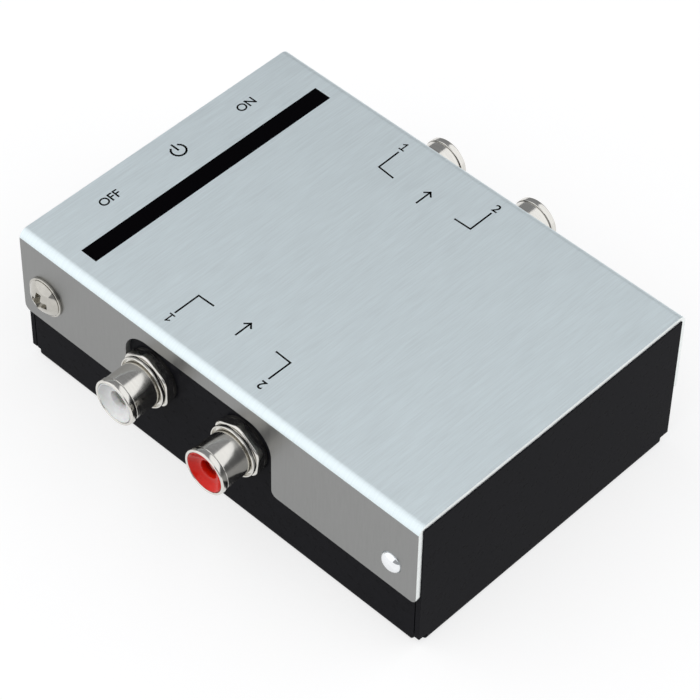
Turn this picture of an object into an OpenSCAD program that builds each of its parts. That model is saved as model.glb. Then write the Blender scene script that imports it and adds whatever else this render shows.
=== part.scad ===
// Phono preamp: a small folded-metal box with two input jacks on one long side, two output
// jacks on the other, a ground terminal beside the inputs and the power fittings on one end.
// +Z is up and z = 0 is the table. X runs along the case, the inputs face -Y, the outputs
// face +Y and the power end faces -X. The origin is at the middle of the base.

/* [Cover] */
// Length of the cover
cover_l = 90; // [84:1:120]
// Width over the cover's two side flanges
cover_w = 63; // [61:1:90]
// Height of the top face above the table
case_h = 30; // [29:0.5:45]
// Thickness of the cover sheet
cover_t = 1; // [0.8:0.1:1.3]
// Outside radius of the cover's two long bends
cover_bend_r = 1.45; // [1.35:0.05:2.5]
// How far the side flanges reach down from the top face
flange_h = 18.2; // [17:0.1:22]
// Radius of the flanges' lower corners
flange_corner_r = 1.2; // [0.5:0.1:2.5]
// Cutout edge to jack axis, along the case
cutout_side = 6.3; // [6:0.1:8]
// Cutout top edge above the jack axis
cutout_above = 7.2; // [6:0.1:8]
// Radius of the cutout's upper corners
cutout_r = 5; // [1:0.5:5.5]
// Middle of the cutout past the middle of the jacks
cutout_shift = 0.5; // [-0.5:0.1:0.8]

/* [Chassis] */
// How far each end wall stands past the cover
end_proud = 0.2; // [0:0.1:1]
// Thickness of the chassis sheet
chassis_t = 1; // [0.8:0.1:1.2]
// Outside radius of the bends round the floor
chassis_bend_r = 1.3; // [1.25:0.05:2.5]
// Side of the square notch that relieves each lower corner
corner_notch = 1.9; // [1.5:0.1:3]
// Width of the open seam at each corner
seam_w = 0.2; // [0.1:0.05:0.4]
// How far the long walls stop below the cover
wall_drop = 0.8; // [0.6:0.1:1.5]

/* [Jacks] */
// Distance between the two jacks of a side
jack_pitch = 20.8; // [18:0.1:24]
// Middle of the two jacks from the middle of the case
jack_mid_x = -3.8; // [-8:0.1:4]
// Height of the jack axes above the table
jack_z = 18.5; // [17.8:0.1:19.2]
// Outside diameter of the jack barrel
barrel_d = 8.4; // [8:0.05:8.5]
// Wall of the barrel
barrel_wall = 0.8; // [0.6:0.05:0.9]
// From the chassis wall to the barrel's front end
barrel_reach = 9.3; // [8:0.1:12]
// Diameter of the rolled bead at the front of the barrel
bead_d = 8.8; // [8.7:0.05:9.4]
// Length of the bead
bead_l = 1.3; // [1.1:0.1:1.6]
// Radius of the bead's rounded edges
bead_edge_r = 0.35; // [0.1:0.05:0.5]
// Width across the flats of the barrel's hexagon
hex_af = 10; // [9.4:0.1:10.2]
// Length of the hexagon
hex_l = 2.6; // [2.4:0.1:3.5]
// Slope at which the hexagon's corners are turned off
hex_slope = 50; // [25:5:50]
// Thickness of the fibre washer under the hexagon
fibre_t = 0.5; // [0.3:0.1:1]
// Diameter of the threaded tail that passes the chassis wall
tail_d = 6.35; // [6:0.05:6.8]
// Length of the threaded tail inside the case
tail_l = 5; // [4.5:0.1:6]
// Wall of the threaded tail
tail_wall = 0.6; // [0.4:0.05:0.7]
// Diameter of the centre hole that takes the plug's pin
pin_hole_d = 3.3; // [3.2:0.05:3.4]
// Wall of the spring socket round that hole
contact_wall = 0.4; // [0.3:0.05:0.5]
// Length of the solder pin behind the threaded tail
solder_pin_l = 3; // [2:0.1:4]
// Depth of the dish in the coloured insulator
dish_depth = 1.5; // [0.5:0.1:2]
// Width across the flats of the nut on the tail
nut_af = 8.8; // [8.2:0.1:10]
// Thickness of the nut on the tail
nut_t = 2; // [1.5:0.1:2.4]
// Thickness of the solder lug
lug_t = 0.4; // [0.3:0.1:0.6]
// Width of the solder lug's tab
lug_w = 2.6; // [2.2:0.1:3]
// How far the solder lug's tab hangs below the axis
lug_drop = 7; // [6:0.1:8]

/* [Ground terminal] */
// Screw axis from the cover's end
ground_inset = 5.8; // [5.5:0.1:9]
// Height of the screw axis above the table
ground_z = 18.8; // [17:0.1:20]
// Thread diameter of the screw
ground_d = 4; // [3.5:0.1:4.2]
// Diameter of the screw's head
ground_head_d = 7; // [6.6:0.1:7.6]
// Height of the screw's head
ground_head_h = 1.5; // [1.3:0.1:3]
// Diameter of the washer
ground_washer_d = 7.6; // [7:0.1:9]
// Thickness of the washer
ground_washer_t = 0.5; // [0.4:0.1:1.2]
// Width across the flats of the nut inside
ground_nut_af = 7; // [6.5:0.1:8]
// Thickness of the nut inside
ground_nut_t = 3.2; // [2.5:0.1:3.5]
// How far the thread ends past that nut
ground_thread_out = 1.4; // [1:0.1:2]

/* [Cover screws] */
// Thread diameter of the screws that hold the cover on the output side
cover_screw_d = 3; // [2.5:0.1:3]
// Length of their thread behind the chassis wall
cover_screw_l = 2.4; // [1.5:0.1:4]

/* [Power lamp] */
// Lamp axis from the cover's end
lamp_inset = 5.4; // [5:0.1:9]
// Height of the lamp axis above the table
lamp_z = 17.7; // [16:0.1:19]
// Diameter of the lens head in the cover
lens_d = 4; // [3.6:0.1:4.6]
// How far the lens dome stands past the cover
lens_dome = 0.4; // [0.2:0.1:0.8]
// Diameter of the lamp behind the lens
lamp_d = 3; // [2.8:0.1:3.4]
// Length of the lamp
lamp_l = 4.6; // [4:0.1:5.5]

/* [Power switch] */
// Height of the switch and the power inlet above the table
power_z = 15.5; // [15:0.1:17]
// Travel of the switch knob
switch_travel = 4; // [3:0.5:5]
// Length of the knob along its travel
knob_l = 4.4; // [3.5:0.1:6]
// Height of the knob
knob_w = 4; // [3:0.1:4.6]
// How far the knob stands out of the end wall
knob_out = 3.2; // [2:0.1:4]
// Depth of the switch body
switch_depth = 6; // [5:0.1:7]
// Wall of the switch body round the knob's base
switch_wall = 0.7; // [0.5:0.1:1]
// Thickness of the switch's metal frame
frame_t = 0.6; // [0.4:0.1:0.8]
// Height of the switch's metal frame
frame_w = 6.4; // [6:0.1:7]
// Distance between the two switch screws
switch_screw_pitch = 19; // [18:0.5:22]
// Thread diameter of the switch screws
switch_screw_d = 2.5; // [2:0.1:2.6]
// Length of their thread behind the switch's frame
switch_screw_l = 2; // [1.5:0.1:3]

/* [Power inlet] */
// Inlet axis from the chassis wall on the output side
inlet_inset = 10.5; // [10:0.1:11.5]
// Diameter of the inlet's mouth
inlet_mouth_d = 5.6; // [5.5:0.05:5.8]
// Depth of the inlet's mouth
inlet_depth = 9.5; // [9:0.1:10.5]
// Thickness of the mouth's floor
inlet_floor_t = 2.6; // [2:0.1:3]
// Diameter of the inlet's centre pin
inlet_pin_d = 2.1; // [1.9:0.1:2.5]
// Diameter of the threaded collar
inlet_collar_d = 7.9; // [7.6:0.1:8.2]
// How far the collar stands out of the end wall
inlet_out = 2.8; // [2.4:0.1:3.5]
// Diameter of the body behind the wall
inlet_body_d = 10; // [9.6:0.1:10.6]

/* [Circuit board] */
// Thickness of the board
board_t = 1.6; // [1:0.1:2]
// Space between the board and the walls
board_gap = 1.2; // [0.8:0.1:2]
// Height of the posts under the board
post_h = 4.6; // [4:0.1:5.5]
// Width across the flats of a post
post_af = 5.5; // [5:0.1:6]
// Post axis from the board's ends
post_inset_l = 8; // [7.8:0.1:8.4]
// Post axis from the board's long sides
post_inset_w = 4; // [3.5:0.1:5]
// Thread diameter of the board screws
board_screw_d = 3; // [2.5:0.1:3]

/* [Components] */
// Diameter of the larger electrolytic capacitors
can_big_d = 8; // [6.3:0.1:8.5]
// Height of the larger electrolytic capacitors
can_big_h = 11.5; // [9:0.5:14]
// Diameter of the smaller electrolytic capacitors
can_small_d = 5; // [4:0.1:6.3]
// Height of the smaller electrolytic capacitors
can_small_h = 7; // [5:0.5:11]
// Length of a film capacitor
film_l = 7.2; // [6:0.1:8]
// Thickness of a film capacitor
film_w = 3; // [2.5:0.1:3.5]
// Height of a film capacitor
film_h = 6.6; // [5:0.1:8]
// Length of a resistor body
resistor_l = 6.3; // [5:0.1:6.5]
// Diameter of a resistor body
resistor_d = 2.3; // [1.8:0.1:2.5]
// Diameter of the wires from the jacks to the board
wire_d = 1.2; // [0.8:0.1:1.4]

/* [Hidden] */

// Overshoot of a cut past the face it opens
cut = 0.5;
// Clearance between fixed round pieces that fit in each other
fit_gap = 0.05;
// Clearance round a screw or a tail in its hole
hole_gap = 0.2;
// Running clearance of the ground screw in its nut
thread_gap = 0.05;
round_fn = 48;
// Head diameter of a small pan-head screw over its thread diameter
pan_ratio = 1.83;
// Slope at which a nut's corners are turned off
nut_slope = 30;
// How far the turned face of a hexagon stays inside its flats
turned_land = 0.1;
// Straight run and bend of the wires before they drop to the board
lead_run = 0.6;
lead_bend = 1;
wire_run = 1;
wire_bend = 1;
signal_run = 0.4;
signal_bend = 2;
power_run = 0.3;
power_bend = 1.5;

flange_z = case_h - flange_h;
wall_y = cover_w / 2 - cover_t;
chassis_l = cover_l + 2 * end_proud;
chassis_w = 2 * wall_y;
chassis_h = case_h - cover_t;
end_x = chassis_l / 2;
jack_xs = [jack_mid_x - jack_pitch / 2, jack_mid_x + jack_pitch / 2];
// The red jack was tightened to a slightly different angle
hex_turns = [30, 24];
ground_x = -(cover_l / 2 - ground_inset);
lamp_x = cover_l / 2 - lamp_inset;
board_l = chassis_l - 2 * chassis_t - 2 * board_gap;
board_w = chassis_w - 2 * chassis_t - 2 * board_gap;
board_z = chassis_t + post_h;
board_top = board_z + board_t;
spigot_r = post_af / 2 - 0.65;
post_xs = [-board_l / 2 + post_inset_l, board_l / 2 - post_inset_l];
post_ys = [-board_w / 2 + post_inset_w, board_w / 2 - post_inset_w];
cover_screw_xs = [ground_x, -ground_x];

barrel_r = barrel_d / 2;
shell_bore_r = barrel_r - barrel_wall;
hex_end = fibre_t + hex_l;
// Floor of the barrel's bore, which carries the insulator
bore_floor = fibre_t + 0.9;
// Counterbore at the front of the barrel, which holds the insulator's rim
rim_seat_l = 0.9;
rim_seat_r = shell_bore_r + 0.25;
tail_bore_r = tail_d / 2 - tail_wall;
tail_end = -chassis_t - tail_l;
contact_r = pin_hole_d / 2 + contact_wall;
contact_end = tail_end - solder_pin_l;
// The socket's front end lies just behind the bottom of the dish
contact_front = barrel_reach - dish_depth - 0.4;
lug_front = -chassis_t;
nut_front = lug_front - lug_t;

ground_shank_end = nut_front - ground_nut_t - ground_thread_out;
ground_face = cover_t + ground_washer_t;

lens_back = -chassis_t - 0.6;
lamp_front = lens_back - 0.2;
lamp_back = lamp_front - lamp_l;
lamp_lead_d = 0.5;
lamp_lead_pitch = 1.7;

// Clearance round the switch knob in its slot
slot_gap = 0.3;
// How far the knob's base reaches past the knob, along and across the travel
base_lip_l = 1;
base_lip_w = 0.4;
base_t = 1.6;
frame_l = switch_screw_pitch + 2 * switch_screw_d;
base_l = knob_l + 2 * base_lip_l;
base_w = knob_w + 2 * base_lip_w;
switch_body_l = base_l + switch_travel + 2 * slot_gap + 2 * switch_wall;
switch_body_w = base_w + 2 * slot_gap + 2 * switch_wall;
frame_back = -chassis_t - frame_t;
switch_back = frame_back - switch_depth;

// Flat solder terminals of the switch and the inlet
terminal_l = 2.6;
terminal_w = 1.6;
terminal_t = 0.6;
terminal_pitch = 3.6;
inlet_terminal_x = 3.2;

inlet_y = wall_y - inlet_inset;
inlet_floor = inlet_out - inlet_depth;
inlet_back = inlet_floor - inlet_floor_t;
inlet_shank_r = inlet_pin_d / 2 + 0.4;
inlet_nut_t = 2;
inlet_nut_af = 10;

// Layout of the circuit board
pin_pitch = 2.54;
chip_l = 9.4;
lead_d = 0.6;
part_gap = 0.3;
film_x = 8;
film_y = 8.8;
small_can_y = 12.5;
resistor_y = 17.6;
resistor_pitch = 3.6;
resistor_reach = resistor_l / 2 + 0.9;
power_x = jack_xs[0] - chip_l / 2 - part_gap - can_big_d / 2;
far_x = jack_mid_x + jack_pitch + resistor_reach + 3 + can_small_d / 2;
regulator_y = 10.5;
big_can_ys = [regulator_y - 1 - 1.5 * can_big_d - 2, regulator_y - 1 - can_big_d / 2];

// Places the child on the input wall, its +Z pointing out of the case
module on_input_wall(x, z) {
    translate([x, -wall_y, z]) rotate([90, 0, 0]) children();
}

// Places the child on the output wall, its +Z pointing out of the case
module on_output_wall(x, z) {
    translate([x, wall_y, z]) rotate([90, 0, 180]) children();
}

// Places the child on the power end, its +Z pointing out of the case and its +X towards -Y
module on_power_end(y, z) {
    translate([-end_x, y, z]) rotate([90, 0, -90]) children();
}

module at_jacks() {
    for (i = [0, 1]) {
        on_input_wall(jack_xs[i], jack_z) children();
        on_output_wall(jack_xs[i], jack_z) children();
    }
}

module round_bar(r, z0, z1) {
    translate([0, 0, z0]) cylinder(r = r, h = z1 - z0, $fn = round_fn);
}

module hex_bar(af, z0, z1) {
    translate([0, 0, z0]) cylinder(d = af / cos(30), h = z1 - z0, $fn = 6);
}

// A hexagon whose corners are turned off on a slope, at the front or at both ends
module turned_hex(af, z0, z1, slope = nut_slope, both_ends = false) {
    corner_r = af / 2 / cos(30);
    land_r = af / 2 - turned_land;
    chamfer = (corner_r - land_r) * tan(slope);
    intersection() {
        hex_bar(af, z0, z1);
        rotate_extrude($fn = round_fn)
            polygon([
                [0, z0],
                [both_ends ? land_r : corner_r + cut, z0],
                [both_ends ? corner_r : corner_r + cut, z0 + chamfer],
                [both_ends ? corner_r : corner_r + cut, (z0 + z1) / 2],
                [corner_r, (z0 + z1) / 2],
                [corner_r, z1 - chamfer],
                [land_r, z1],
                [0, z1]
            ]);
    }
}

// A flat-bottomed sheet section, w wide and h high, with bends of radius r at its lower edges
module bent_section(w, h, r) {
    translate([-w / 2, r]) square([w, h - r]);
    translate([-w / 2 + r, 0]) square([w - 2 * r, h]);
    for (s = [-1, 1]) translate([s * (w / 2 - r), r]) circle(r = r, $fn = round_fn);
}

// The same section with its upper corners rounded to radius top_r, to sit inside the cover
module end_section(w, h, r, top_r) {
    intersection() {
        bent_section(w, h, r);
        translate([0, h]) mirror([0, 1]) bent_section(w, h, top_r);
    }
}

// A block whose four lower edges follow the floor bends
module tray_block(l, w, h, r, top_r) {
    intersection() {
        rotate([90, 0, 90])
            translate([0, 0, -l / 2]) linear_extrude(l) end_section(w, h, r, top_r);
        rotate([90, 0, 0])
            translate([0, 0, -w / 2]) linear_extrude(w) bent_section(l, h, r);
    }
}

module chassis_openings() {
    at_jacks() round_bar(tail_d / 2 + hole_gap, -chassis_t - cut, cut);
    on_input_wall(ground_x, ground_z)
        round_bar(ground_d / 2 + hole_gap, -chassis_t - cut, cut);
    on_input_wall(lamp_x, lamp_z)
        round_bar(lamp_d / 2 + fit_gap, -chassis_t - cut, cut);
    for (x = cover_screw_xs)
        on_output_wall(x, ground_z)
            round_bar(cover_screw_d / 2 + fit_gap, -chassis_t - cut, cut);
    on_power_end(0, power_z) {
        translate([0, 0, -chassis_t / 2])
            cube([
                knob_l + switch_travel + 2 * slot_gap,
                knob_w + 2 * slot_gap,
                chassis_t + 2 * cut
            ], center = true);
        for (s = [-1, 1])
            translate([s * switch_screw_pitch / 2, 0, 0])
                round_bar(switch_screw_d / 2 + hole_gap, -chassis_t - cut, cut);
    }
    on_power_end(inlet_y, power_z)
        round_bar(inlet_collar_d / 2 + hole_gap, -chassis_t - cut, cut);
    for (x = post_xs, y = post_ys)
        translate([x, y, 0]) round_bar(spigot_r + fit_gap, -cut, chassis_t + cut);
}

module corner_cuts() {
    for (sx = [-1, 1], sy = [-1, 1]) {
        // Notch where two floor bends would meet
        translate([sx * (end_x - corner_notch / 2), sy * (wall_y - corner_notch / 2), 0])
            cube([corner_notch + 0.01, corner_notch + 0.01, 2 * corner_notch], center = true);
        // Open seam between the long wall and the back of the end wall
        translate([
            sx * (end_x - chassis_t - seam_w / 2),
            sy * (wall_y - chassis_t / 2),
            chassis_h / 2 + corner_notch / 2
        ])
            cube([seam_w, chassis_t + 0.02, chassis_h], center = true);
    }
}

module chassis() {
    inner_l = chassis_l - 2 * chassis_t;
    top_r = cover_bend_r - cover_t + fit_gap;
    color([0.13, 0.13, 0.14])
        difference() {
            tray_block(chassis_l, chassis_w, chassis_h, chassis_bend_r, top_r);
            translate([0, 0, chassis_t])
                tray_block(
                    inner_l,
                    chassis_w - 2 * chassis_t,
                    chassis_h + cut,
                    chassis_bend_r - chassis_t,
                    fit_gap
                );
            translate([0, 0, chassis_h - wall_drop / 2 + cut / 2])
                cube([inner_l, chassis_w + cut, wall_drop + cut], center = true);
            corner_cuts();
            chassis_openings();
        }
}

// One side tab of the flange outline, with round lower corners
module flange_tab(x0, x1) {
    r = flange_corner_r;
    translate([x0, flange_z + r]) square([x1 - x0, flange_h - r]);
    translate([x0 + r, flange_z]) square([x1 - x0 - 2 * r, flange_h]);
    for (x = [x0 + r, x1 - r]) translate([x, flange_z + r]) circle(r = r, $fn = round_fn);
}

// Metal left in an upper corner of the cutout; s is +1 beside the left tab
module cutout_fillet(x, z, s) {
    translate([x, z]) difference() {
        translate([s > 0 ? -0.1 : -cutout_r, -cutout_r]) square([cutout_r + 0.1, cutout_r + 0.1]);
        translate([s * cutout_r, -cutout_r]) circle(r = cutout_r, $fn = round_fn);
    }
}

// Side view of both flanges
module flange_outline() {
    middle = jack_mid_x + cutout_shift;
    half = jack_pitch / 2 + cutout_side;
    cutout_z = jack_z + cutout_above;
    flange_tab(-cover_l / 2, middle - half);
    flange_tab(middle + half, cover_l / 2);
    translate([-cover_l / 2, cutout_z]) square([cover_l, case_h - cutout_z]);
    cutout_fillet(middle - half, cutout_z, 1);
    cutout_fillet(middle + half, cutout_z, -1);
}

module cover() {
    color([0.74, 0.77, 0.79])
        difference() {
            intersection() {
                translate([-cover_l / 2, 0, case_h])
                    rotate([90, 0, 90])
                        linear_extrude(cover_l) mirror([0, 1]) difference() {
                            bent_section(cover_w, flange_h, cover_bend_r);
                            translate([0, cover_t])
                                bent_section(
                                    cover_w - 2 * cover_t,
                                    flange_h,
                                    cover_bend_r - cover_t
                                );
                        }
                translate([0, cover_w / 2 + cut, 0])
                    rotate([90, 0, 0]) linear_extrude(cover_w + 2 * cut) flange_outline();
            }
            on_input_wall(ground_x, ground_z)
                round_bar(ground_d / 2 + hole_gap, -cut / 2, cover_t + cut);
            on_input_wall(lamp_x, lamp_z)
                round_bar(lens_d / 2 + fit_gap, -cut / 2, cover_t + cut);
            for (x = cover_screw_xs)
                on_output_wall(x, ground_z)
                    round_bar(cover_screw_d / 2 + hole_gap, -cut / 2, cover_t + cut);
        }
}

// Barrel, bead and threaded tail, revolved round the jack axis
module shell_section() {
    edge = bead_edge_r;
    bead_r = bead_d / 2;
    bead_back = barrel_reach - bead_l;
    difference() {
        union() {
            translate([0, tail_end]) square([tail_d / 2, fibre_t - tail_end + cut]);
            translate([0, fibre_t + cut]) square([barrel_r, barrel_reach - fibre_t - cut - edge]);
            translate([0, bead_back + edge]) square([bead_r, bead_l - 2 * edge]);
            translate([0, bead_back]) square([bead_r - edge, bead_l]);
            for (y = [bead_back + edge, barrel_reach - edge])
                translate([bead_r - edge, y]) circle(r = edge, $fn = round_fn);
        }
        translate([0, bore_floor]) square([shell_bore_r, barrel_reach]);
        translate([0, tail_end - cut]) square([tail_bore_r, barrel_reach]);
        translate([0, barrel_reach - rim_seat_l]) square([rim_seat_r, rim_seat_l + cut]);
        translate([-cut, tail_end - cut]) square([cut, barrel_reach - tail_end + 2 * cut]);
    }
}

module jack_shell(turn) {
    color([0.8, 0.79, 0.76]) {
        difference() {
            union() {
                rotate_extrude($fn = round_fn) shell_section();
                rotate([0, 0, turn])
                    turned_hex(hex_af, fibre_t, hex_end, hex_slope, both_ends = true);
            }
            round_bar(shell_bore_r, bore_floor, hex_end + cut);
            round_bar(tail_bore_r, tail_end - cut, hex_end);
        }
    }
}

// Front of the insulator's rim
rim_front = barrel_reach - 0.1;

// Height of the dished front at radius r, between its centre r0 and its edge r1
function dish_z(r, r0, r1) = rim_front - dish_depth * (1 - pow((r - r0) / (r1 - r0), 2));

// Insulator with a dished front, seated behind the rolled edge of the barrel
module jack_insulator(shade) {
    r0 = contact_r + 0.15;
    rim_r = rim_seat_r - fit_gap;
    r1 = rim_r - 0.2;
    rim_back = barrel_reach - rim_seat_l + fit_gap;
    steps = 12;
    color(shade)
        rotate_extrude($fn = round_fn)
            polygon(concat(
                [
                    [contact_r + fit_gap, tail_end],
                    [tail_bore_r - fit_gap, tail_end],
                    [tail_bore_r - fit_gap, bore_floor],
                    [shell_bore_r - fit_gap, bore_floor],
                    [shell_bore_r - fit_gap, rim_back],
                    [rim_r, rim_back],
                    [rim_r, rim_front]
                ],
                [for (i = [0 : steps]) let (r = r1 - (r1 - r0) * i / steps) [r, dish_z(r, r0, r1)]],
                [[contact_r + fit_gap, contact_front + 0.1]]
            ));
}

// Spring socket for the plug's pin, with a solder tail inside the case
module jack_contact() {
    slit_w = 0.4;
    slit_l = 4.7;
    color([0.83, 0.7, 0.4])
        difference() {
            union() {
                round_bar(contact_r, tail_end - 1, contact_front);
                round_bar(wire_d, contact_end, tail_end);
            }
            round_bar(pin_hole_d / 2, 0, contact_front + cut);
            // Slot that lets the socket spring open
            translate([-contact_r - cut, -slit_w / 2, contact_front - slit_l])
                cube([2 * (contact_r + cut), slit_w, slit_l + cut]);
        }
}

module jack_fibre_washers() {
    color([0.1, 0.1, 0.1])
        at_jacks() difference() {
            round_bar(hex_af / 2, 0, fibre_t);
            round_bar(tail_d / 2 + fit_gap, -cut, fibre_t + cut);
        }
}

module jack_solder_lugs() {
    color([0.8, 0.79, 0.74]) at_jacks() solder_lug(tail_d / 2, hex_af / 2, lug_drop);
}

// Ring with one tab that hangs below the axis
module solder_lug(hole_r, ring_r, drop) {
    translate([0, 0, nut_front])
        linear_extrude(lug_t)
            difference() {
                union() {
                    circle(r = ring_r, $fn = round_fn);
                    translate([-lug_w / 2, -drop]) square([lug_w, drop]);
                    translate([0, -drop]) circle(d = lug_w, $fn = round_fn);
                }
                circle(r = hole_r + fit_gap, $fn = round_fn);
                translate([0, -drop]) circle(d = wire_d + 0.2, $fn = round_fn);
            }
}

module jack_nuts() {
    color([0.8, 0.79, 0.74])
        at_jacks() difference() {
            turned_hex(nut_af, nut_front - nut_t, nut_front, both_ends = true);
            round_bar(tail_d / 2 + fit_gap, nut_front - nut_t - cut, nut_front + cut);
        }
}

// Two crossed tapering slots of a screwdriver recess, cut down from the plane z = 0
module cross_recess(width, depth) {
    for (a = [0, 90])
        rotate([90, 0, a])
            translate([0, 0, -width * 0.11])
                linear_extrude(width * 0.22)
                    polygon([
                        [-width / 2, cut],
                        [-width / 2, 0],
                        [-width * 0.18, -depth],
                        [width * 0.18, -depth],
                        [width / 2, 0],
                        [width / 2, cut]
                    ]);
}

// Pan head with a domed top, standing on z = 0
module pan_head(d, h) {
    r = d / 2;
    edge = h * 0.45;
    difference() {
        rotate_extrude($fn = round_fn)
            polygon(concat(
                [[0, 0], [r, 0], [r, h - edge - h * 0.15]],
                [
                    for (i = [1 : 8])
                        [
                            r - edge * (1 - cos(i * 90 / 8)),
                            h - edge - h * 0.15 + edge * sin(i * 90 / 8)
                        ]
                ],
                [[r * 0.35, h - h * 0.03], [0, h]]
            ));
        translate([0, 0, h - h * 0.05]) cross_recess(d * 0.5, h * 0.55);
    }
}

module ground_screw() {
    color([0.82, 0.81, 0.79])
        on_input_wall(ground_x, ground_z) {
            translate([0, 0, ground_face]) pan_head(ground_head_d, ground_head_h);
            round_bar(ground_d / 2, ground_shank_end, ground_face + 0.1);
        }
}

module ground_washer() {
    color([0.82, 0.81, 0.79])
        on_input_wall(ground_x, ground_z)
            difference() {
                round_bar(ground_washer_d / 2, cover_t, ground_face);
                round_bar(ground_d / 2 + thread_gap, 0, ground_face + cut);
            }
}

module ground_nut() {
    color([0.8, 0.79, 0.74])
        on_input_wall(ground_x, ground_z)
            difference() {
                turned_hex(ground_nut_af, nut_front - ground_nut_t, nut_front, both_ends = true);
                round_bar(
                    ground_d / 2 + thread_gap,
                    nut_front - ground_nut_t - cut,
                    nut_front + cut
                );
            }
}

module ground_lug() {
    color([0.8, 0.79, 0.74])
        on_input_wall(ground_x, ground_z)
            solder_lug(ground_d / 2 + thread_gap, ground_nut_af / 2, lug_drop);
}

// Clear lens pressed through the chassis wall, with a low dome in the cover's hole
module lamp_lens() {
    head_r = lens_d / 2;
    rim = cover_t - 0.1;
    steps = 8;
    color([0.93, 0.95, 0.96])
        on_input_wall(lamp_x, lamp_z)
            rotate_extrude($fn = round_fn)
                polygon(concat(
                    [
                        [0, lens_back],
                        [lamp_d / 2 - fit_gap, lens_back],
                        [lamp_d / 2 - fit_gap, 0],
                        [head_r, 0]
                    ],
                    [
                        for (i = [0 : steps])
                            [
                                head_r * cos(i * 90 / steps),
                                rim + (lens_dome + 0.1) * sin(i * 90 / steps)
                            ]
                    ]
                ));
}

// Round-nosed lamp close behind the lens
module power_lamp() {
    nose = lamp_d / 2;
    color([0.85, 0.9, 0.86])
        on_input_wall(lamp_x, lamp_z) {
            translate([0, 0, lamp_front - nose]) sphere(r = nose, $fn = round_fn);
            round_bar(nose, lamp_back, lamp_front - nose);
            round_bar(nose + 0.4, lamp_back, lamp_back + 1);
        }
}

// A wire that leaves a wall horizontally and turns down to the board; its start is at the
// child origin, its +Z points out of the case and height is the axis above the board
module drop_wire(d, run, bend, height) {
    r = d / 2;
    round_bar(r, -run, 0);
    translate([0, -bend, -run])
        rotate([-90, 0, 90]) rotate_extrude(angle = 90, $fn = round_fn)
            translate([bend, 0]) circle(r = r, $fn = round_fn);
    translate([0, -bend, -run - bend])
        rotate([90, 0, 0]) cylinder(r = r, h = height - bend, $fn = round_fn);
}

module lamp_leads() {
    color([0.75, 0.75, 0.74])
        on_input_wall(lamp_x, lamp_z)
            for (s = [-1, 1])
                translate([s * lamp_lead_pitch / 2, 0, lamp_back])
                    drop_wire(lamp_lead_d, lead_run, lead_bend, lamp_z - board_top);
}

module switch_frame() {
    color([0.72, 0.72, 0.7])
        on_power_end(0, power_z)
            difference() {
                translate([0, 0, -chassis_t - frame_t / 2])
                    cube([frame_l, frame_w, frame_t], center = true);
                translate([0, 0, -chassis_t - frame_t / 2])
                    cube([
                        knob_l + switch_travel + 2 * slot_gap,
                        knob_w + 2 * slot_gap,
                        frame_t + 2 * cut
                    ], center = true);
                for (s = [-1, 1])
                    translate([s * switch_screw_pitch / 2, 0, 0])
                        round_bar(switch_screw_d / 2 + fit_gap, frame_back - cut, 0);
            }
}

module switch_body() {
    pocket_t = base_t + 2 * fit_gap;
    front = frame_back;
    color([0.16, 0.13, 0.11])
        on_power_end(0, power_z)
            difference() {
                translate([0, 0, front - switch_depth / 2])
                    cube([switch_body_l, switch_body_w, switch_depth], center = true);
                translate([0, 0, front - pocket_t / 2 + cut / 2])
                    cube([
                        switch_body_l - 2 * switch_wall,
                        switch_body_w - 2 * switch_wall,
                        pocket_t + cut
                    ], center = true);
            }
}

// Ribbed knob on a flat base that slides behind the frame; it stands at the OFF end
module switch_knob() {
    front = frame_back - fit_gap;
    ribs = 3;
    rib_pitch = knob_l / (ribs + 1);
    color([0.08, 0.08, 0.08])
        on_power_end(0, power_z)
            translate([switch_travel / 2, 0, 0])
                difference() {
                    union() {
                        translate([0, 0, front - base_t / 2])
                            cube([base_l, base_w, base_t], center = true);
                        translate([0, 0, (knob_out + front) / 2])
                            cube([knob_l, knob_w, knob_out - front], center = true);
                    }
                    for (i = [1 : ribs])
                        translate([-knob_l / 2 + i * rib_pitch, 0, knob_out])
                            cube([0.45, knob_w + cut, 0.7], center = true);
                }
}

module switch_terminals() {
    color([0.8, 0.79, 0.74])
        on_power_end(0, power_z)
            for (i = [-1 : 1])
                translate([i * terminal_pitch, 0, switch_back - terminal_l / 2])
                    cube([terminal_w, terminal_t, terminal_l], center = true);
}

module switch_screws() {
    color([0.12, 0.12, 0.12])
        on_power_end(0, power_z)
            for (s = [-1, 1])
                translate([s * switch_screw_pitch / 2, 0, 0]) {
                    pan_head(switch_screw_d * pan_ratio, switch_screw_d * 0.6);
                    round_bar(switch_screw_d / 2, frame_back - switch_screw_l, 0.1);
                }
}

// Threaded collar and round body with an open mouth
module inlet_body() {
    mouth_r = inlet_mouth_d / 2;
    collar_r = inlet_collar_d / 2;
    edge = 0.3;
    color([0.08, 0.08, 0.08])
        on_power_end(inlet_y, power_z)
            rotate_extrude($fn = round_fn)
                polygon([
                    [inlet_shank_r + fit_gap, inlet_back],
                    [inlet_body_d / 2, inlet_back],
                    [inlet_body_d / 2, -chassis_t],
                    [collar_r, -chassis_t],
                    [collar_r, inlet_out - edge],
                    [collar_r - edge, inlet_out],
                    [mouth_r + edge, inlet_out],
                    [mouth_r, inlet_out - edge],
                    [mouth_r, inlet_floor],
                    [inlet_shank_r + fit_gap, inlet_floor]
                ]);
}

// Centre pin on a thicker shank that is riveted into the floor of the mouth
module inlet_pin() {
    pin_r = inlet_pin_d / 2;
    tip = inlet_out - 0.8;
    color([0.8, 0.79, 0.74])
        on_power_end(inlet_y, power_z) {
            round_bar(inlet_shank_r, inlet_back - 0.6, inlet_floor);
            round_bar(pin_r, inlet_floor, tip - pin_r);
            translate([0, 0, tip - pin_r]) sphere(r = pin_r, $fn = round_fn);
        }
}

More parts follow.
